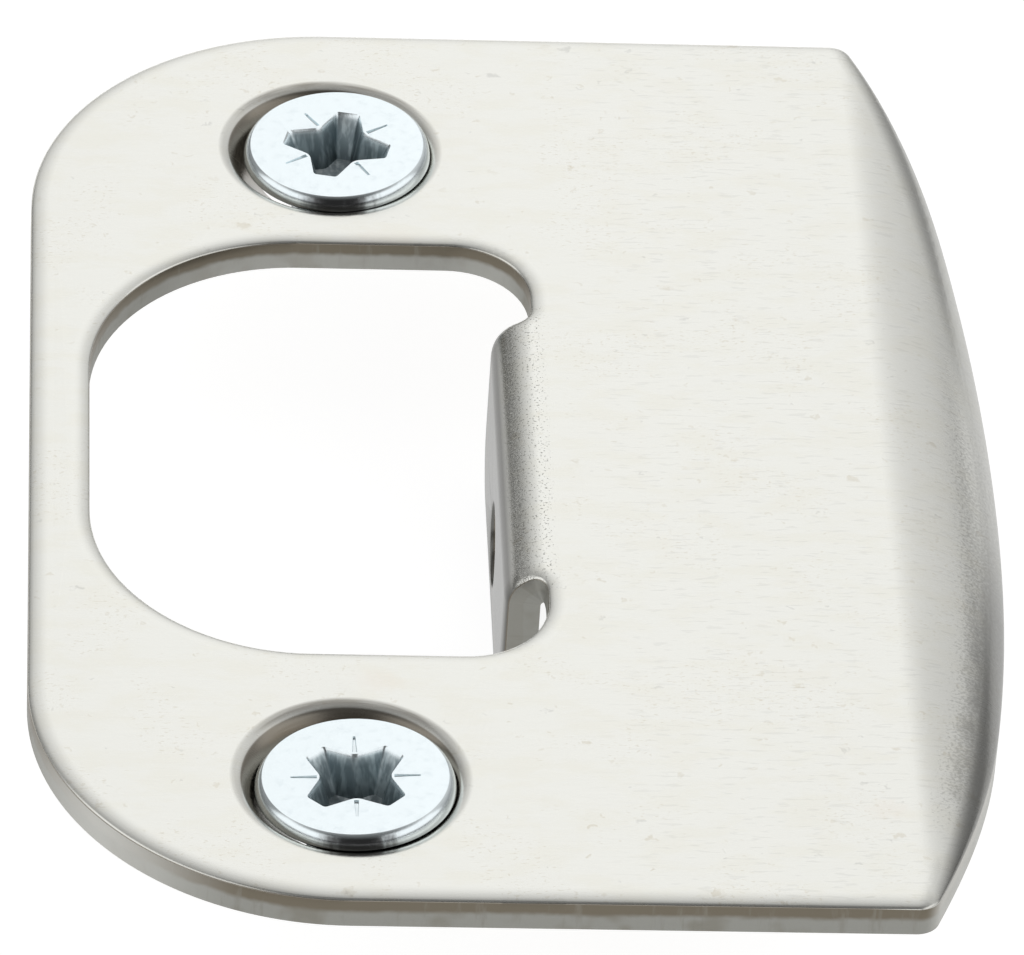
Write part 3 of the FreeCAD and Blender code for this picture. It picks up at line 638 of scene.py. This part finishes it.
def sharpen(bm: bmesh.types.BMesh, angle: float) -> None:
    """Smooth all faces and mark the edges that turn more than an angle in degrees."""
    for face in bm.faces:
        face.smooth = True
    for edge in bm.edges:
        if len(edge.link_faces) == 2:
            edge.smooth = edge.calc_face_angle(0.0) < math.radians(angle)


def finish_piece(bm: bmesh.types.BMesh, name: str,
                 materials: Sequence[bpy.types.Material]) -> bpy.types.Object:
    """Turn a mesh in millimetres into an object in metres.

    Args:
        bm: the mesh, which is freed.
        name: the object's name.
        materials: its material slots.

    Returns:
        The object, linked to the scene.
    """
    loose = [edge for edge in bm.edges if len(edge.link_faces) != 2]
    log.info("%s: %d faces, %d open edges", name, len(bm.faces), len(loose))
    bmesh.ops.scale(bm, vec=(MM, MM, MM), verts=bm.verts)
    mesh = bpy.data.meshes.new(name)
    bm.to_mesh(mesh)
    bm.free()
    for material in materials:
        mesh.materials.append(material)
    piece = bpy.data.objects.new(name, mesh)
    bpy.context.scene.collection.objects.link(piece)
    even = piece.modifiers.new("even_normals", "WEIGHTED_NORMAL")
    even.keep_sharp = True
    even.weight = 60
    return piece


class Pen:
    """Draws one closed outline of spun arcs that straight edges join."""

    def __init__(self, bm: bmesh.types.BMesh, height: float) -> None:
        """Start an outline.

        Args:
            bm: the mesh to draw in.
            height: height of the outline's plane.
        """
        self.bm = bm
        self.height = height
        self.first: bmesh.types.BMVert | None = None
        self.last: bmesh.types.BMVert | None = None

    def arc(self, centre: Sequence[float], radius: float, start: float, turn: float, steps: int) -> None:
        """Add an arc, and a straight edge to it from the end of the last one.

        Args:
            centre: the arc's middle in the plane.
            radius: its radius.
            start: direction of its first point, in radians.
            turn: how far it turns, in radians.
            steps: number of its edges.
        """
        point = Vector((centre[0] + radius * math.cos(start), centre[1] + radius * math.sin(start),
                        self.height))
        begin = self.bm.verts.new(point)
        spun = bmesh.ops.spin(self.bm, geom=[begin], cent=(centre[0], centre[1], self.height), axis=(0, 0, 1),
                              angle=turn, steps=steps)
        end = next(item for item in spun["geom_last"] if isinstance(item, bmesh.types.BMVert))
        if self.last is None:
            self.first = begin
        else:
            bmesh.ops.contextual_create(self.bm, geom=[self.last, begin])
        self.last = end

    def close(self) -> None:
        """Join the last arc to the first one and merge points that coincide."""
        bmesh.ops.contextual_create(self.bm, geom=[self.last, self.first])
        bmesh.ops.remove_doubles(self.bm, verts=self.bm.verts[:], dist=10 * TINY)


# -------------------------------------------------------------------- the plate


@dataclass
class StrikePlate:
    """The stamped sheet, drawn as a flat blank and then bent. Sizes are in millimetres."""

    sheet: float = 1.5
    left_edge: float = -12.93
    half_length: float = 28.575
    corner: float = 12.8
    crown_at: float = 27.8
    crown: float = 107.0
    crown_half: float = 16.0
    shoulder: float = 50.0
    lip_corner: float = 1.0
    opening_left: float = -10.43
    opening_right: float = 8.37
    opening_half: float = 13.6
    opening_big: float = 9.0
    opening_small: float = 3.5
    tab_half: float = 8.5
    tab_relief: float = 0.8
    tab_corner: float = 2.8
    tab_outside: float = 1.7
    tab_end: float = -6.9
    tab_hole_height: float = -4.0
    tab_hole_radius: float = 1.8
    lip_start: float = 22.6
    lip_outside: float = 6.2
    lip_turn: float = math.radians(60)
    lip_foot: float = -2.92
    roll_width: float = 0.8
    roll_depth: float = 0.2
    roll_steps: int = 6
    land_foot: float = 0.88
    hole_places: tuple[float, float] = (20.2, -21.35)
    rim_radius: float = 4.55
    rim_round: float = 0.9
    hole_radius: float = 3.15
    turned_steps: int = 96
    bend_steps: int = 18
    lip_steps: int = 42
    bm: bmesh.types.BMesh = field(default_factory=bmesh.new)

    def build(self, materials: Sequence[bpy.types.Material]) -> bpy.types.Object:
        """Make the whole plate.

        Args:
            materials: finishes of the face and of the sheared sides.

        Returns:
            The plate's object.
        """
        self.draw_outline()
        self.draw_opening()
        self.roll_edges()
        self.turn_holes()
        self.close_face()
        self.shear_sides()
        self.slice_bends()
        self.keep_blank()
        self.bend()
        sharpen(self.bm, 38.0)
        return finish_piece(self.bm, "formed_plate", materials)

    def draw_outline(self) -> None:
        """Outer outline of the blank: two big corners and the bowed edge of the lip."""
        crown_middle = self.crown_at - self.crown
        turn = math.asin(self.crown_half / self.crown)
        middle = (crown_middle + (self.crown - self.shoulder) * math.cos(turn),
                  (self.crown - self.shoulder) * math.sin(turn))
        rise = self.half_length - self.lip_corner - middle[1]
        reach = self.shoulder - self.lip_corner
        small = (middle[0] + math.sqrt(reach ** 2 - rise ** 2), self.half_length - self.lip_corner)
        bow = math.asin(rise / reach)
        pen = Pen(self.bm, self.sheet - self.roll_depth)
        pen.arc((small[0], -small[1]), self.lip_corner, -QUARTER, QUARTER - bow, 12)
        pen.arc((middle[0], -middle[1]), self.shoulder, -bow, bow - turn, 26)
        pen.arc((crown_middle, 0.0), self.crown, -turn, 2 * turn, 64)
        pen.arc(middle, self.shoulder, turn, bow - turn, 26)
        pen.arc(small, self.lip_corner, bow, QUARTER - bow, 12)
        pen.arc((self.left_edge + self.corner, self.half_length - self.corner), self.corner, QUARTER,
                QUARTER, 44)
        pen.arc((self.left_edge + self.corner, self.corner - self.half_length), self.corner, 2 * QUARTER,
                QUARTER, 44)
        pen.close()

    def draw_opening(self) -> None:
        """Latch opening with the tab lying flat in it."""
        right = self.opening_right
        small = self.opening_small
        half = self.opening_half
        relief = (right - self.tab_relief, self.tab_half + self.tab_relief)
        end = right - self.tab_length()
        tip = (end + self.tab_corner, self.tab_half - self.tab_corner)
        big = (self.opening_left + self.opening_big, half - self.opening_big)
        pen = Pen(self.bm, self.sheet - self.roll_depth)
        pen.arc((right - small, small - half), small, -QUARTER, QUARTER, 16)
        pen.arc((relief[0], -relief[1]), self.tab_relief, 0.0, QUARTER, 8)
        pen.arc((tip[0], -tip[1]), self.tab_corner, -QUARTER, -QUARTER, 14)
        pen.arc(tip, self.tab_corner, 2 * QUARTER, -QUARTER, 14)
        pen.arc(relief, self.tab_relief, -QUARTER, QUARTER, 8)
        pen.arc((right - small, half - small), small, 0.0, QUARTER, 16)
        pen.arc(big, self.opening_big, QUARTER, QUARTER, 32)
        pen.arc((big[0], -big[1]), self.opening_big, 2 * QUARTER, QUARTER, 32)
        pen.close()

    def tab_length(self) -> float:
        """Length of the flat tab, measured along its outside."""
        return self.tab_outside * QUARTER + (self.sheet - self.tab_outside) - self.tab_end

    def roll_edges(self) -> None:
        """Fill the blank and roll its edges down, ring by ring."""
        filled = bmesh.ops.triangle_fill(self.bm, edges=self.bm.edges[:], use_beauty=True, normal=(0, 0, 1))
        region = [item for item in filled["geom"] if isinstance(item, bmesh.types.BMFace)]
        angles = [QUARTER * step / self.roll_steps for step in range(self.roll_steps + 1)]
        for lower, upper in zip(angles, angles[1:]):
            bmesh.ops.inset_region(self.bm, faces=region, use_boundary=True, use_even_offset=True,
                                   thickness=self.roll_width * (math.cos(lower) - math.cos(upper)))
            inner = {vert for face in region for vert in face.verts}
            bmesh.ops.translate(self.bm, verts=list(inner),
                                vec=(0, 0, self.roll_depth * (math.sin(upper) - math.sin(lower))))
        bmesh.ops.delete(self.bm, geom=region, context="FACES")

    def turn_holes(self) -> None:
        """Countersunk screw holes and the small hole in the tab, each spun from its section."""
        start = self.rim_radius + self.rim_round * math.tan(math.radians(22.5))
        for place in self.hole_places:
            top = self.bm.verts.new((start, place, self.sheet))
            known = set(self.bm.edges)
            spun = bmesh.ops.spin(self.bm, geom=[top], cent=(start, place, self.sheet - self.rim_round),
                                  axis=(0, -1, 0),
                                  angle=math.radians(45), steps=6)
            low = next(item for item in spun["geom_last"] if isinstance(item, bmesh.types.BMVert))
            wall = self.bm.verts.new((self.hole_radius, place,
                                      self.sheet - self.rim_radius + self.hole_radius))
            foot = self.bm.verts.new((self.hole_radius, place, 0.0))
            self.bm.edges.new((low, wall))
            self.bm.edges.new((wall, foot))
            self.turn(set(self.bm.edges) - known, (0.0, place, 0.0))
        middle = self.opening_right - self.tab_outside * QUARTER - (self.sheet - self.tab_outside) + self.tab_hole_height
        radius = self.tab_hole_radius
        section = chain(self.bm, [(middle + radius + 0.18, 0, self.sheet),
                                  (middle + radius + 0.05, 0, self.sheet - 0.03),
                                  (middle + radius, 0, self.sheet - 0.12), (middle + radius, 0, 0)])
        self.turn(section, (middle, 0.0, 0.0))

    def turn(self, section: Iterable[bmesh.types.BMEdge], centre: Sequence[float]) -> None:
        """Spin a section about an upright axis into the wall of a hole."""
        edges = list(section)
        verts = list({vert for edge in edges for vert in edge.verts})
        bmesh.ops.spin(self.bm, geom=verts + edges, cent=centre, axis=(0, 0, 1), angle=2 * math.pi,
                       steps=self.turned_steps, use_merge=True)

    def close_face(self) -> None:
        """Fill the face between the rolled edges and the holes."""
        rim = open_edges(self.bm, lambda point: point.z > self.sheet - TINY)
        bmesh.ops.triangle_fill(self.bm, edges=rim, use_beauty=True, normal=(0, 0, 1))

    def shear_sides(self) -> None:
        """Draw the sides down from the rolled edges and close the back."""
        level = self.sheet - self.roll_depth
        for lower in (self.land_foot, self.land_foot - 0.1, 0.0):
            edges = open_edges(self.bm, lambda point: abs(point.z - level) < TINY)
            drawn = bmesh.ops.extrude_edge_only(self.bm, edges=edges)["geom"]
            verts = [item for item in drawn if isinstance(item, bmesh.types.BMVert)]
            bmesh.ops.translate(self.bm, verts=verts, vec=(0, 0, lower - level))
            for item in drawn:
                if isinstance(item, bmesh.types.BMFace):
                    item.material_index = Skin.SHEARED.value
            level = lower
        back = open_edges(self.bm, lambda point: abs(point.z) < TINY)
        bmesh.ops.triangle_fill(self.bm, edges=back, use_beauty=True, normal=(0, 0, -1))
        bmesh.ops.recalc_face_normals(self.bm, faces=self.bm.faces[:])

    def slice_bends(self) -> None:
        """Cut rows across the lip and the tab's bend so that they can curve."""
        tab_rows = [self.opening_right - self.tab_outside * QUARTER * step / self.bend_steps
                    for step in range(self.bend_steps + 1)]
        lip_rows = [self.lip_start + (self.crown_at - self.lip_start) * step / self.lip_steps
                    for step in range(self.lip_steps)]
        for row in tab_rows + lip_rows + [self.foot_start()]:
            bmesh.ops.bisect_plane(self.bm, geom=self.bm.verts[:] + self.bm.edges[:] + self.bm.faces[:],
                                   dist=TINY,
                                   plane_co=(row, 0, 0), plane_no=(1, 0, 0))
        bmesh.ops.triangulate(self.bm, faces=[face for face in self.bm.faces if len(face.verts) > 4])

    def keep_blank(self) -> None:
        """Keep each vertex's place on the flat blank for the finishes."""
        blank = self.bm.verts.layers.float_vector.new(Layer.BLANK.value)
        for vert in self.bm.verts:
            vert[blank] = vert.co

    def lip_inside(self) -> float:
        """Inner radius of the lip's bend."""
        return self.lip_outside - self.sheet

    def under_lip(self, across: float) -> float:
        """Height of the lip's underside before its foot is trimmed flat."""
        middle = self.sheet - self.lip_outside
        end = self.lip_start + self.lip_inside() * math.sin(self.lip_turn)
        if across < end:
            return middle + math.sqrt(self.lip_inside() ** 2 - (across - self.lip_start) ** 2)
        return middle + self.lip_inside() * math.cos(self.lip_turn) - (across - end) * math.tan(self.lip_turn)

    def foot_start(self) -> float:
        """Where the lip's underside meets its flat foot."""
        end = self.lip_start + self.lip_inside() * math.sin(self.lip_turn)
        return end + (self.under_lip(end) - self.lip_foot) / math.tan(self.lip_turn)

    def bend(self) -> None:
        """Bend the lip and the tab down."""
        foot = self.foot_start()
        for vert in self.bm.verts:
            x, y, z = vert.co
            if x > self.lip_start:
                top = self.sheet - self.lip_outside + math.sqrt(self.lip_outside ** 2 - (x - self.lip_start) ** 2)
                low = self.lip_foot if x >= foot else self.under_lip(x)
                vert.co.z = low + (top - low) * z / self.sheet
            elif -2.5 < x < self.opening_right and abs(y) < self.tab_half + self.tab_relief + TINY:
                run = self.opening_right - x
                radius = self.tab_outside - self.sheet + z
                turn = min(run / self.tab_outside, QUARTER)
                beyond = run - self.tab_outside * turn
                vert.co.x = self.opening_right - radius * math.sin(turn)
                vert.co.z = self.sheet - self.tab_outside + radius * math.cos(turn) - beyond


# ------------------------------------------------------------------- the screws


@dataclass
class Screw:
    """Countersunk machine screw with a cross recess, face at zero before it is placed. Millimetres."""

    mount: str
    turn: float
    face_radius: float = 3.75
    head_radius: float = 4.05
    edge_height: float = 0.4
    land: float = 0.15
    core_radius: float = 1.62
    thread_radius: float = 1.98
    length: float = 5.0
    pitch: float = 0.7
    pin_middle: float = 3.575
    reach: float = 2.3
    wing: float = 1.0
    root: float = 0.98
    depth: float = 1.9
    taper: float = 0.62
    tick_start: float = 1.55
    tick_end: float = 2.6
    steps: int = 96
    bm: bmesh.types.BMesh = field(default_factory=bmesh.new)

    def build(self, name: str, material: bpy.types.Material) -> bpy.types.Object:
        """Make the screw and put it in its hole.

        Args:
            name: name of the piece.
            material: its finish.

        Returns:
            The screw's object.
        """
        self.turn_head()
        self.cut_recess()
        self.close_face()
        self.wind_thread()
        bmesh.ops.recalc_face_normals(self.bm, faces=self.bm.faces[:])
        own = self.bm.verts.layers.float_vector.new(Layer.BLANK.value)
        for vert in self.bm.verts:
            vert[own] = vert.co
        sharpen(self.bm, 40.0)
        for edge in self.bm.edges:
            if all(abs(vert.co.z) < TINY and abs(vert.co.xy.length - self.face_radius) < 10 * TINY for vert in edge.verts):
                edge.smooth = False
        self.place()
        return finish_piece(self.bm, name, [material])

    def turn_head(self) -> None:
        """Head and core, spun from their section."""
        neck = -self.edge_height - self.land - (self.head_radius - self.core_radius)
        points = [(self.face_radius, 0, 0), (self.face_radius + 0.05, 0, -0.03), (3.87, 0, -0.09),
                  (3.94, 0, -0.18),
                  (3.99, 0, -0.29), (4.03, 0, -0.43),
                  (self.head_radius, 0, -self.edge_height - self.land - 0.05),
                  (self.head_radius - 0.06, 0, -self.edge_height - self.land - 0.14),
                  (self.core_radius + 0.1, 0, neck + 0.1),
                   (self.core_radius, 0, neck - 0.15), (self.core_radius, 0, 0.35 - self.length),
                   (self.core_radius - 0.35, 0, -self.length), (0, 0, -self.length)]
        section = chain(self.bm, points)
        verts = list({vert for edge in section for vert in edge.verts})
        bmesh.ops.spin(self.bm, geom=verts + section, cent=(0, 0, 0), axis=(0, 0, 1), angle=2 * math.pi,
                       steps=self.steps, use_merge=True)
        bmesh.ops.remove_doubles(self.bm, verts=self.bm.verts[:], dist=TINY)

    def cut_recess(self) -> None:
        """Cross recess: a rounded cross at the face, drawn down and in to a blunt point."""
        corners = []
        for quarter in range(4):
            for across, along in ((self.reach, -self.wing / 2), (self.reach, self.wing / 2),
                                  (self.root, self.root)):
                corners.append(Matrix.Rotation(quarter * QUARTER, 3, "Z") @ Vector((across, along, 0)))
        verts = [self.bm.verts.new(corner) for corner in corners]
        cross = self.bm.faces.new(verts)
        inner = [vert for index, vert in enumerate(verts) if index % 3 == 2]
        outer = [vert for index, vert in enumerate(verts) if index % 3 != 2]
        bmesh.ops.bevel(self.bm, geom=inner, offset=0.22, offset_type="OFFSET", affect="VERTICES", segments=4,
                        profile=0.5, material=-1)
        bmesh.ops.bevel(self.bm, geom=outer, offset=0.12, offset_type="OFFSET", affect="VERTICES", segments=3,
                        profile=0.5, material=-1)
        cross = next(face for face in self.bm.faces if len(face.verts) > 20)
        region = [cross]
        share = 1.0
        for sink, size in ((0.10, 0.955), (0.6, 0.86), (self.depth, self.taper)):
            drawn = bmesh.ops.extrude_discrete_faces(self.bm, faces=region)["faces"]
            level = -sink - drawn[0].calc_center_median().z
            verts = list(drawn[0].verts)
            bmesh.ops.translate(self.bm, verts=verts, vec=(0, 0, level))
            bmesh.ops.scale(self.bm, verts=verts, vec=(size / share, size / share, 1))
            share = size
            region = drawn
        poked = bmesh.ops.poke(self.bm, faces=region)
        bmesh.ops.translate(self.bm, verts=poked["verts"], vec=(0, 0, -0.35))

    def close_face(self) -> None:
        """Fill the face between its rim and the recess, with four fine ticks pressed in."""
        rims = open_edges(self.bm, lambda point: abs(point.z) < TINY)
        ticks = []
        for quarter in range(4):
            turned = Matrix.Rotation(QUARTER * (quarter + 0.5), 3, "Z")
            points = ((self.tick_start, -0.10, 0), (self.tick_end, -0.05, 0), (self.tick_end, 0.05, 0),
                      (self.tick_start, 0.10, 0))
            tick = self.bm.faces.new([self.bm.verts.new(turned @ Vector(point)) for point in points])
            rims += tick.edges[:]
            ticks.append(tick)
        bmesh.ops.triangle_fill(self.bm, edges=rims, use_beauty=True, normal=(0, 0, 1))
        bmesh.ops.inset_individual(self.bm, faces=ticks, thickness=0.035, depth=0.0)
        sunk = {vert for tick in ticks for vert in tick.verts}
        bmesh.ops.translate(self.bm, verts=list(sunk), vec=(0, 0, -0.09))

    def wind_thread(self) -> None:
        """Helical thread: a pointed section spun down the core."""
        top = -self.edge_height - self.land - (self.head_radius - self.core_radius) + self.pitch * 0.6
        inside = self.core_radius - 0.12
        section = [(inside, 0, top + 0.34), (inside, 0, top - 0.34), (self.thread_radius, 0, top - 0.05),
                   (self.thread_radius, 0, top + 0.05)]
        verts = [self.bm.verts.new(point) for point in section]
        start = self.bm.faces.new(verts)
        turns = (self.length + top - 0.3) / self.pitch
        steps = round(turns * 48)
        geom = [start] + start.edges[:] + start.verts[:]
        known = set(self.bm.verts)
        bmesh.ops.spin(self.bm, geom=geom, cent=(0, 0, 0), axis=(0, 0, 1), angle=2 * math.pi * turns,
                       dvec=(0, 0, -turns * self.pitch / steps), steps=steps)
        wound = [vert for vert in self.bm.verts if vert not in known]
        log.info("thread: %d new vertices over %.1f turns", len(wound), turns)

    def place(self) -> None:
        """Turn the screw and set it where the record's pin says."""
        pin = next(item for item in frame["record"]["mounts"] if item["name"] == self.mount)
        axis = Vector(pin["axis"])
        middle = Vector(pin["pos_m"]) / MM
        lean = Vector((0, 0, -1)).rotation_difference(axis).to_matrix().to_4x4()
        spun = Matrix.Rotation(math.radians(self.turn), 4, "Z")
        moved = Matrix.Translation(middle - self.pin_middle * axis) @ lean @ spun
        bmesh.ops.transform(self.bm, matrix=moved, verts=self.bm.verts[:])


# -------------------------------------------------------------------- the studio


@dataclass(frozen=True)
class Studio:
    """Floor, soft light and the camera at the photograph's angle."""

    floor_height: float = -0.0069
    floor_reach: float = 3.0
    eye: tuple[float, float, float] = (-0.016014, -0.294368, 0.239407)
    yaw: float = 0.0830
    pitch: float = 0.6818
    roll: float = 0.0708
    lens: float = 318.89
    shift: tuple[float, float] = (-0.02712, 0.000637)
    window_up: tuple[tuple[float, float], ...] = ((0.0, 0.50), (0.1, 0.60), (0.2, 0.76), (0.3, 0.86),
                                                  (0.4, 0.92),
                                                  (0.5, 0.95), (0.58, 1.0), (0.72, 1.0), (0.82, 0.84),
                                                  (0.9, 0.68),
                                                  (1.0, 0.58))
    window_wide: tuple[tuple[float, float], ...] = ((0.0, 0.24), (0.19, 0.28), (0.235, 0.34), (0.295, 0.51),
                                                    (0.36, 0.65),
                                                    (0.43, 0.76), (0.475, 0.90), (0.50, 1.0), (0.56, 1.0),
                                                    (0.59, 0.84),
                                                    (0.62, 0.74), (0.66, 0.69), (0.70, 0.67), (0.80, 0.64),
                                                    (0.85, 0.56),
                                                    (1.0, 0.34))
    window_glow: float = 1.42
    fill: float = 0.50
    dim: float = 0.18
    side_box: float = 1.35
    backdrop: float = 0.92

    def place_camera(self) -> None:
        """Camera where the photograph was taken from."""
        data = bpy.data.cameras.new("photo_camera")
        data.lens = self.lens
        data.sensor_width = 36.0
        data.shift_x, data.shift_y = self.shift
        data.clip_start = 0.01
        camera = bpy.data.objects.new("photo_camera", data)
        bpy.context.scene.collection.objects.link(camera)
        ahead = Vector((math.sin(self.yaw) * math.cos(self.pitch), math.cos(self.yaw) * math.cos(self.pitch),
                        -math.sin(self.pitch)))
        level = Vector((math.cos(self.yaw), -math.sin(self.yaw), 0.0))
        upright = level.cross(ahead)
        right = math.cos(self.roll) * level + math.sin(self.roll) * upright
        up = math.cos(self.roll) * upright - math.sin(self.roll) * level
        turned = Matrix((right, up, -ahead)).transposed().to_4x4()
        camera.matrix_world = Matrix.Translation(Vector(self.eye)) @ turned
        bpy.context.scene.camera = camera

    def lay_floor(self, material: bpy.types.Material) -> None:
        """Pale floor under the part."""
        bm = bmesh.new()
        bmesh.ops.create_circle(bm, cap_ends=True, segments=64, radius=self.floor_reach,
                                matrix=Matrix.Translation((0, 0, self.floor_height)))
        mesh = bpy.data.meshes.new("floor")
        bm.to_mesh(mesh)
        bm.free()
        mesh.materials.append(material)
        floor = bpy.data.objects.new("floor", mesh)
        bpy.context.scene.collection.objects.link(floor)

    def light(self) -> None:
        """Soft light from all round, brighter overhead than at the horizon."""
        world = bpy.data.worlds.new("soft_room")
        bpy.context.scene.world = world
        world.use_nodes = True
        nodes = Nodes(world.node_tree)
        right, back, height = nodes.split(nodes.add("ShaderNodeTexCoord").outputs["Generated"])
        wide = nodes.ramp(nodes.maths("MULTIPLY_ADD", right, 0.5, extra=0.5), self.window_wide)
        window = nodes.times(nodes.ramp(height, self.window_up), nodes.times(wide, self.window_glow))
        behind = nodes.step(nodes.times(back, -1.0), -0.05, 0.35, self.fill, self.dim)
        level = nodes.between(nodes.step(back, -0.05, 0.35), behind, window)
        box = nodes.times(nodes.step(nodes.maths("ABSOLUTE", right), 0.25, 0.50),
                          nodes.times(nodes.step(height, 0.05, 0.25),
                                      nodes.step(height, 0.65, 0.90, 1.0, 0.0)))
        box = nodes.times(box, nodes.step(back, 0.15, 0.40, self.side_box, 0.0))
        level = nodes.maths("MAXIMUM", level, box)
        seen = nodes.add("ShaderNodeLightPath").outputs["Is Camera Ray"]
        background = nodes.add("ShaderNodeBackground")
        nodes.feed(background.inputs["Strength"], nodes.between(seen, level, self.backdrop))
        nodes.feed(nodes.add("ShaderNodeOutputWorld").inputs["Surface"], background.outputs[0])


def main() -> None:
    """Build the pieces in order, dress them, and set up the studio."""
    face, sheared, zinc = SatinNickel().make(), ShearedEdge().make(), BrightZinc().make()
    plate = StrikePlate().build((face, sheared))
    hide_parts("strike_plate")
    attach(plate, "root")
    log.info("formed plate built")
    for name, node, turn in (("upper_driven_screw", "upper_screw", -14.0),
                             ("lower_driven_screw", "lower_screw", 45.0)):
        screw = Screw(mount=node + "_shank", turn=turn).build(name, zinc)
        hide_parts(node)
        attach(screw, "root")
        log.info("%s built", name)
    studio = Studio()
    studio.lay_floor(PaleFloor().make())
    studio.light()
    studio.place_camera()
    scene = bpy.context.scene
    scene.view_settings.view_transform = "Standard"


if __name__ == "__main__":
    main()
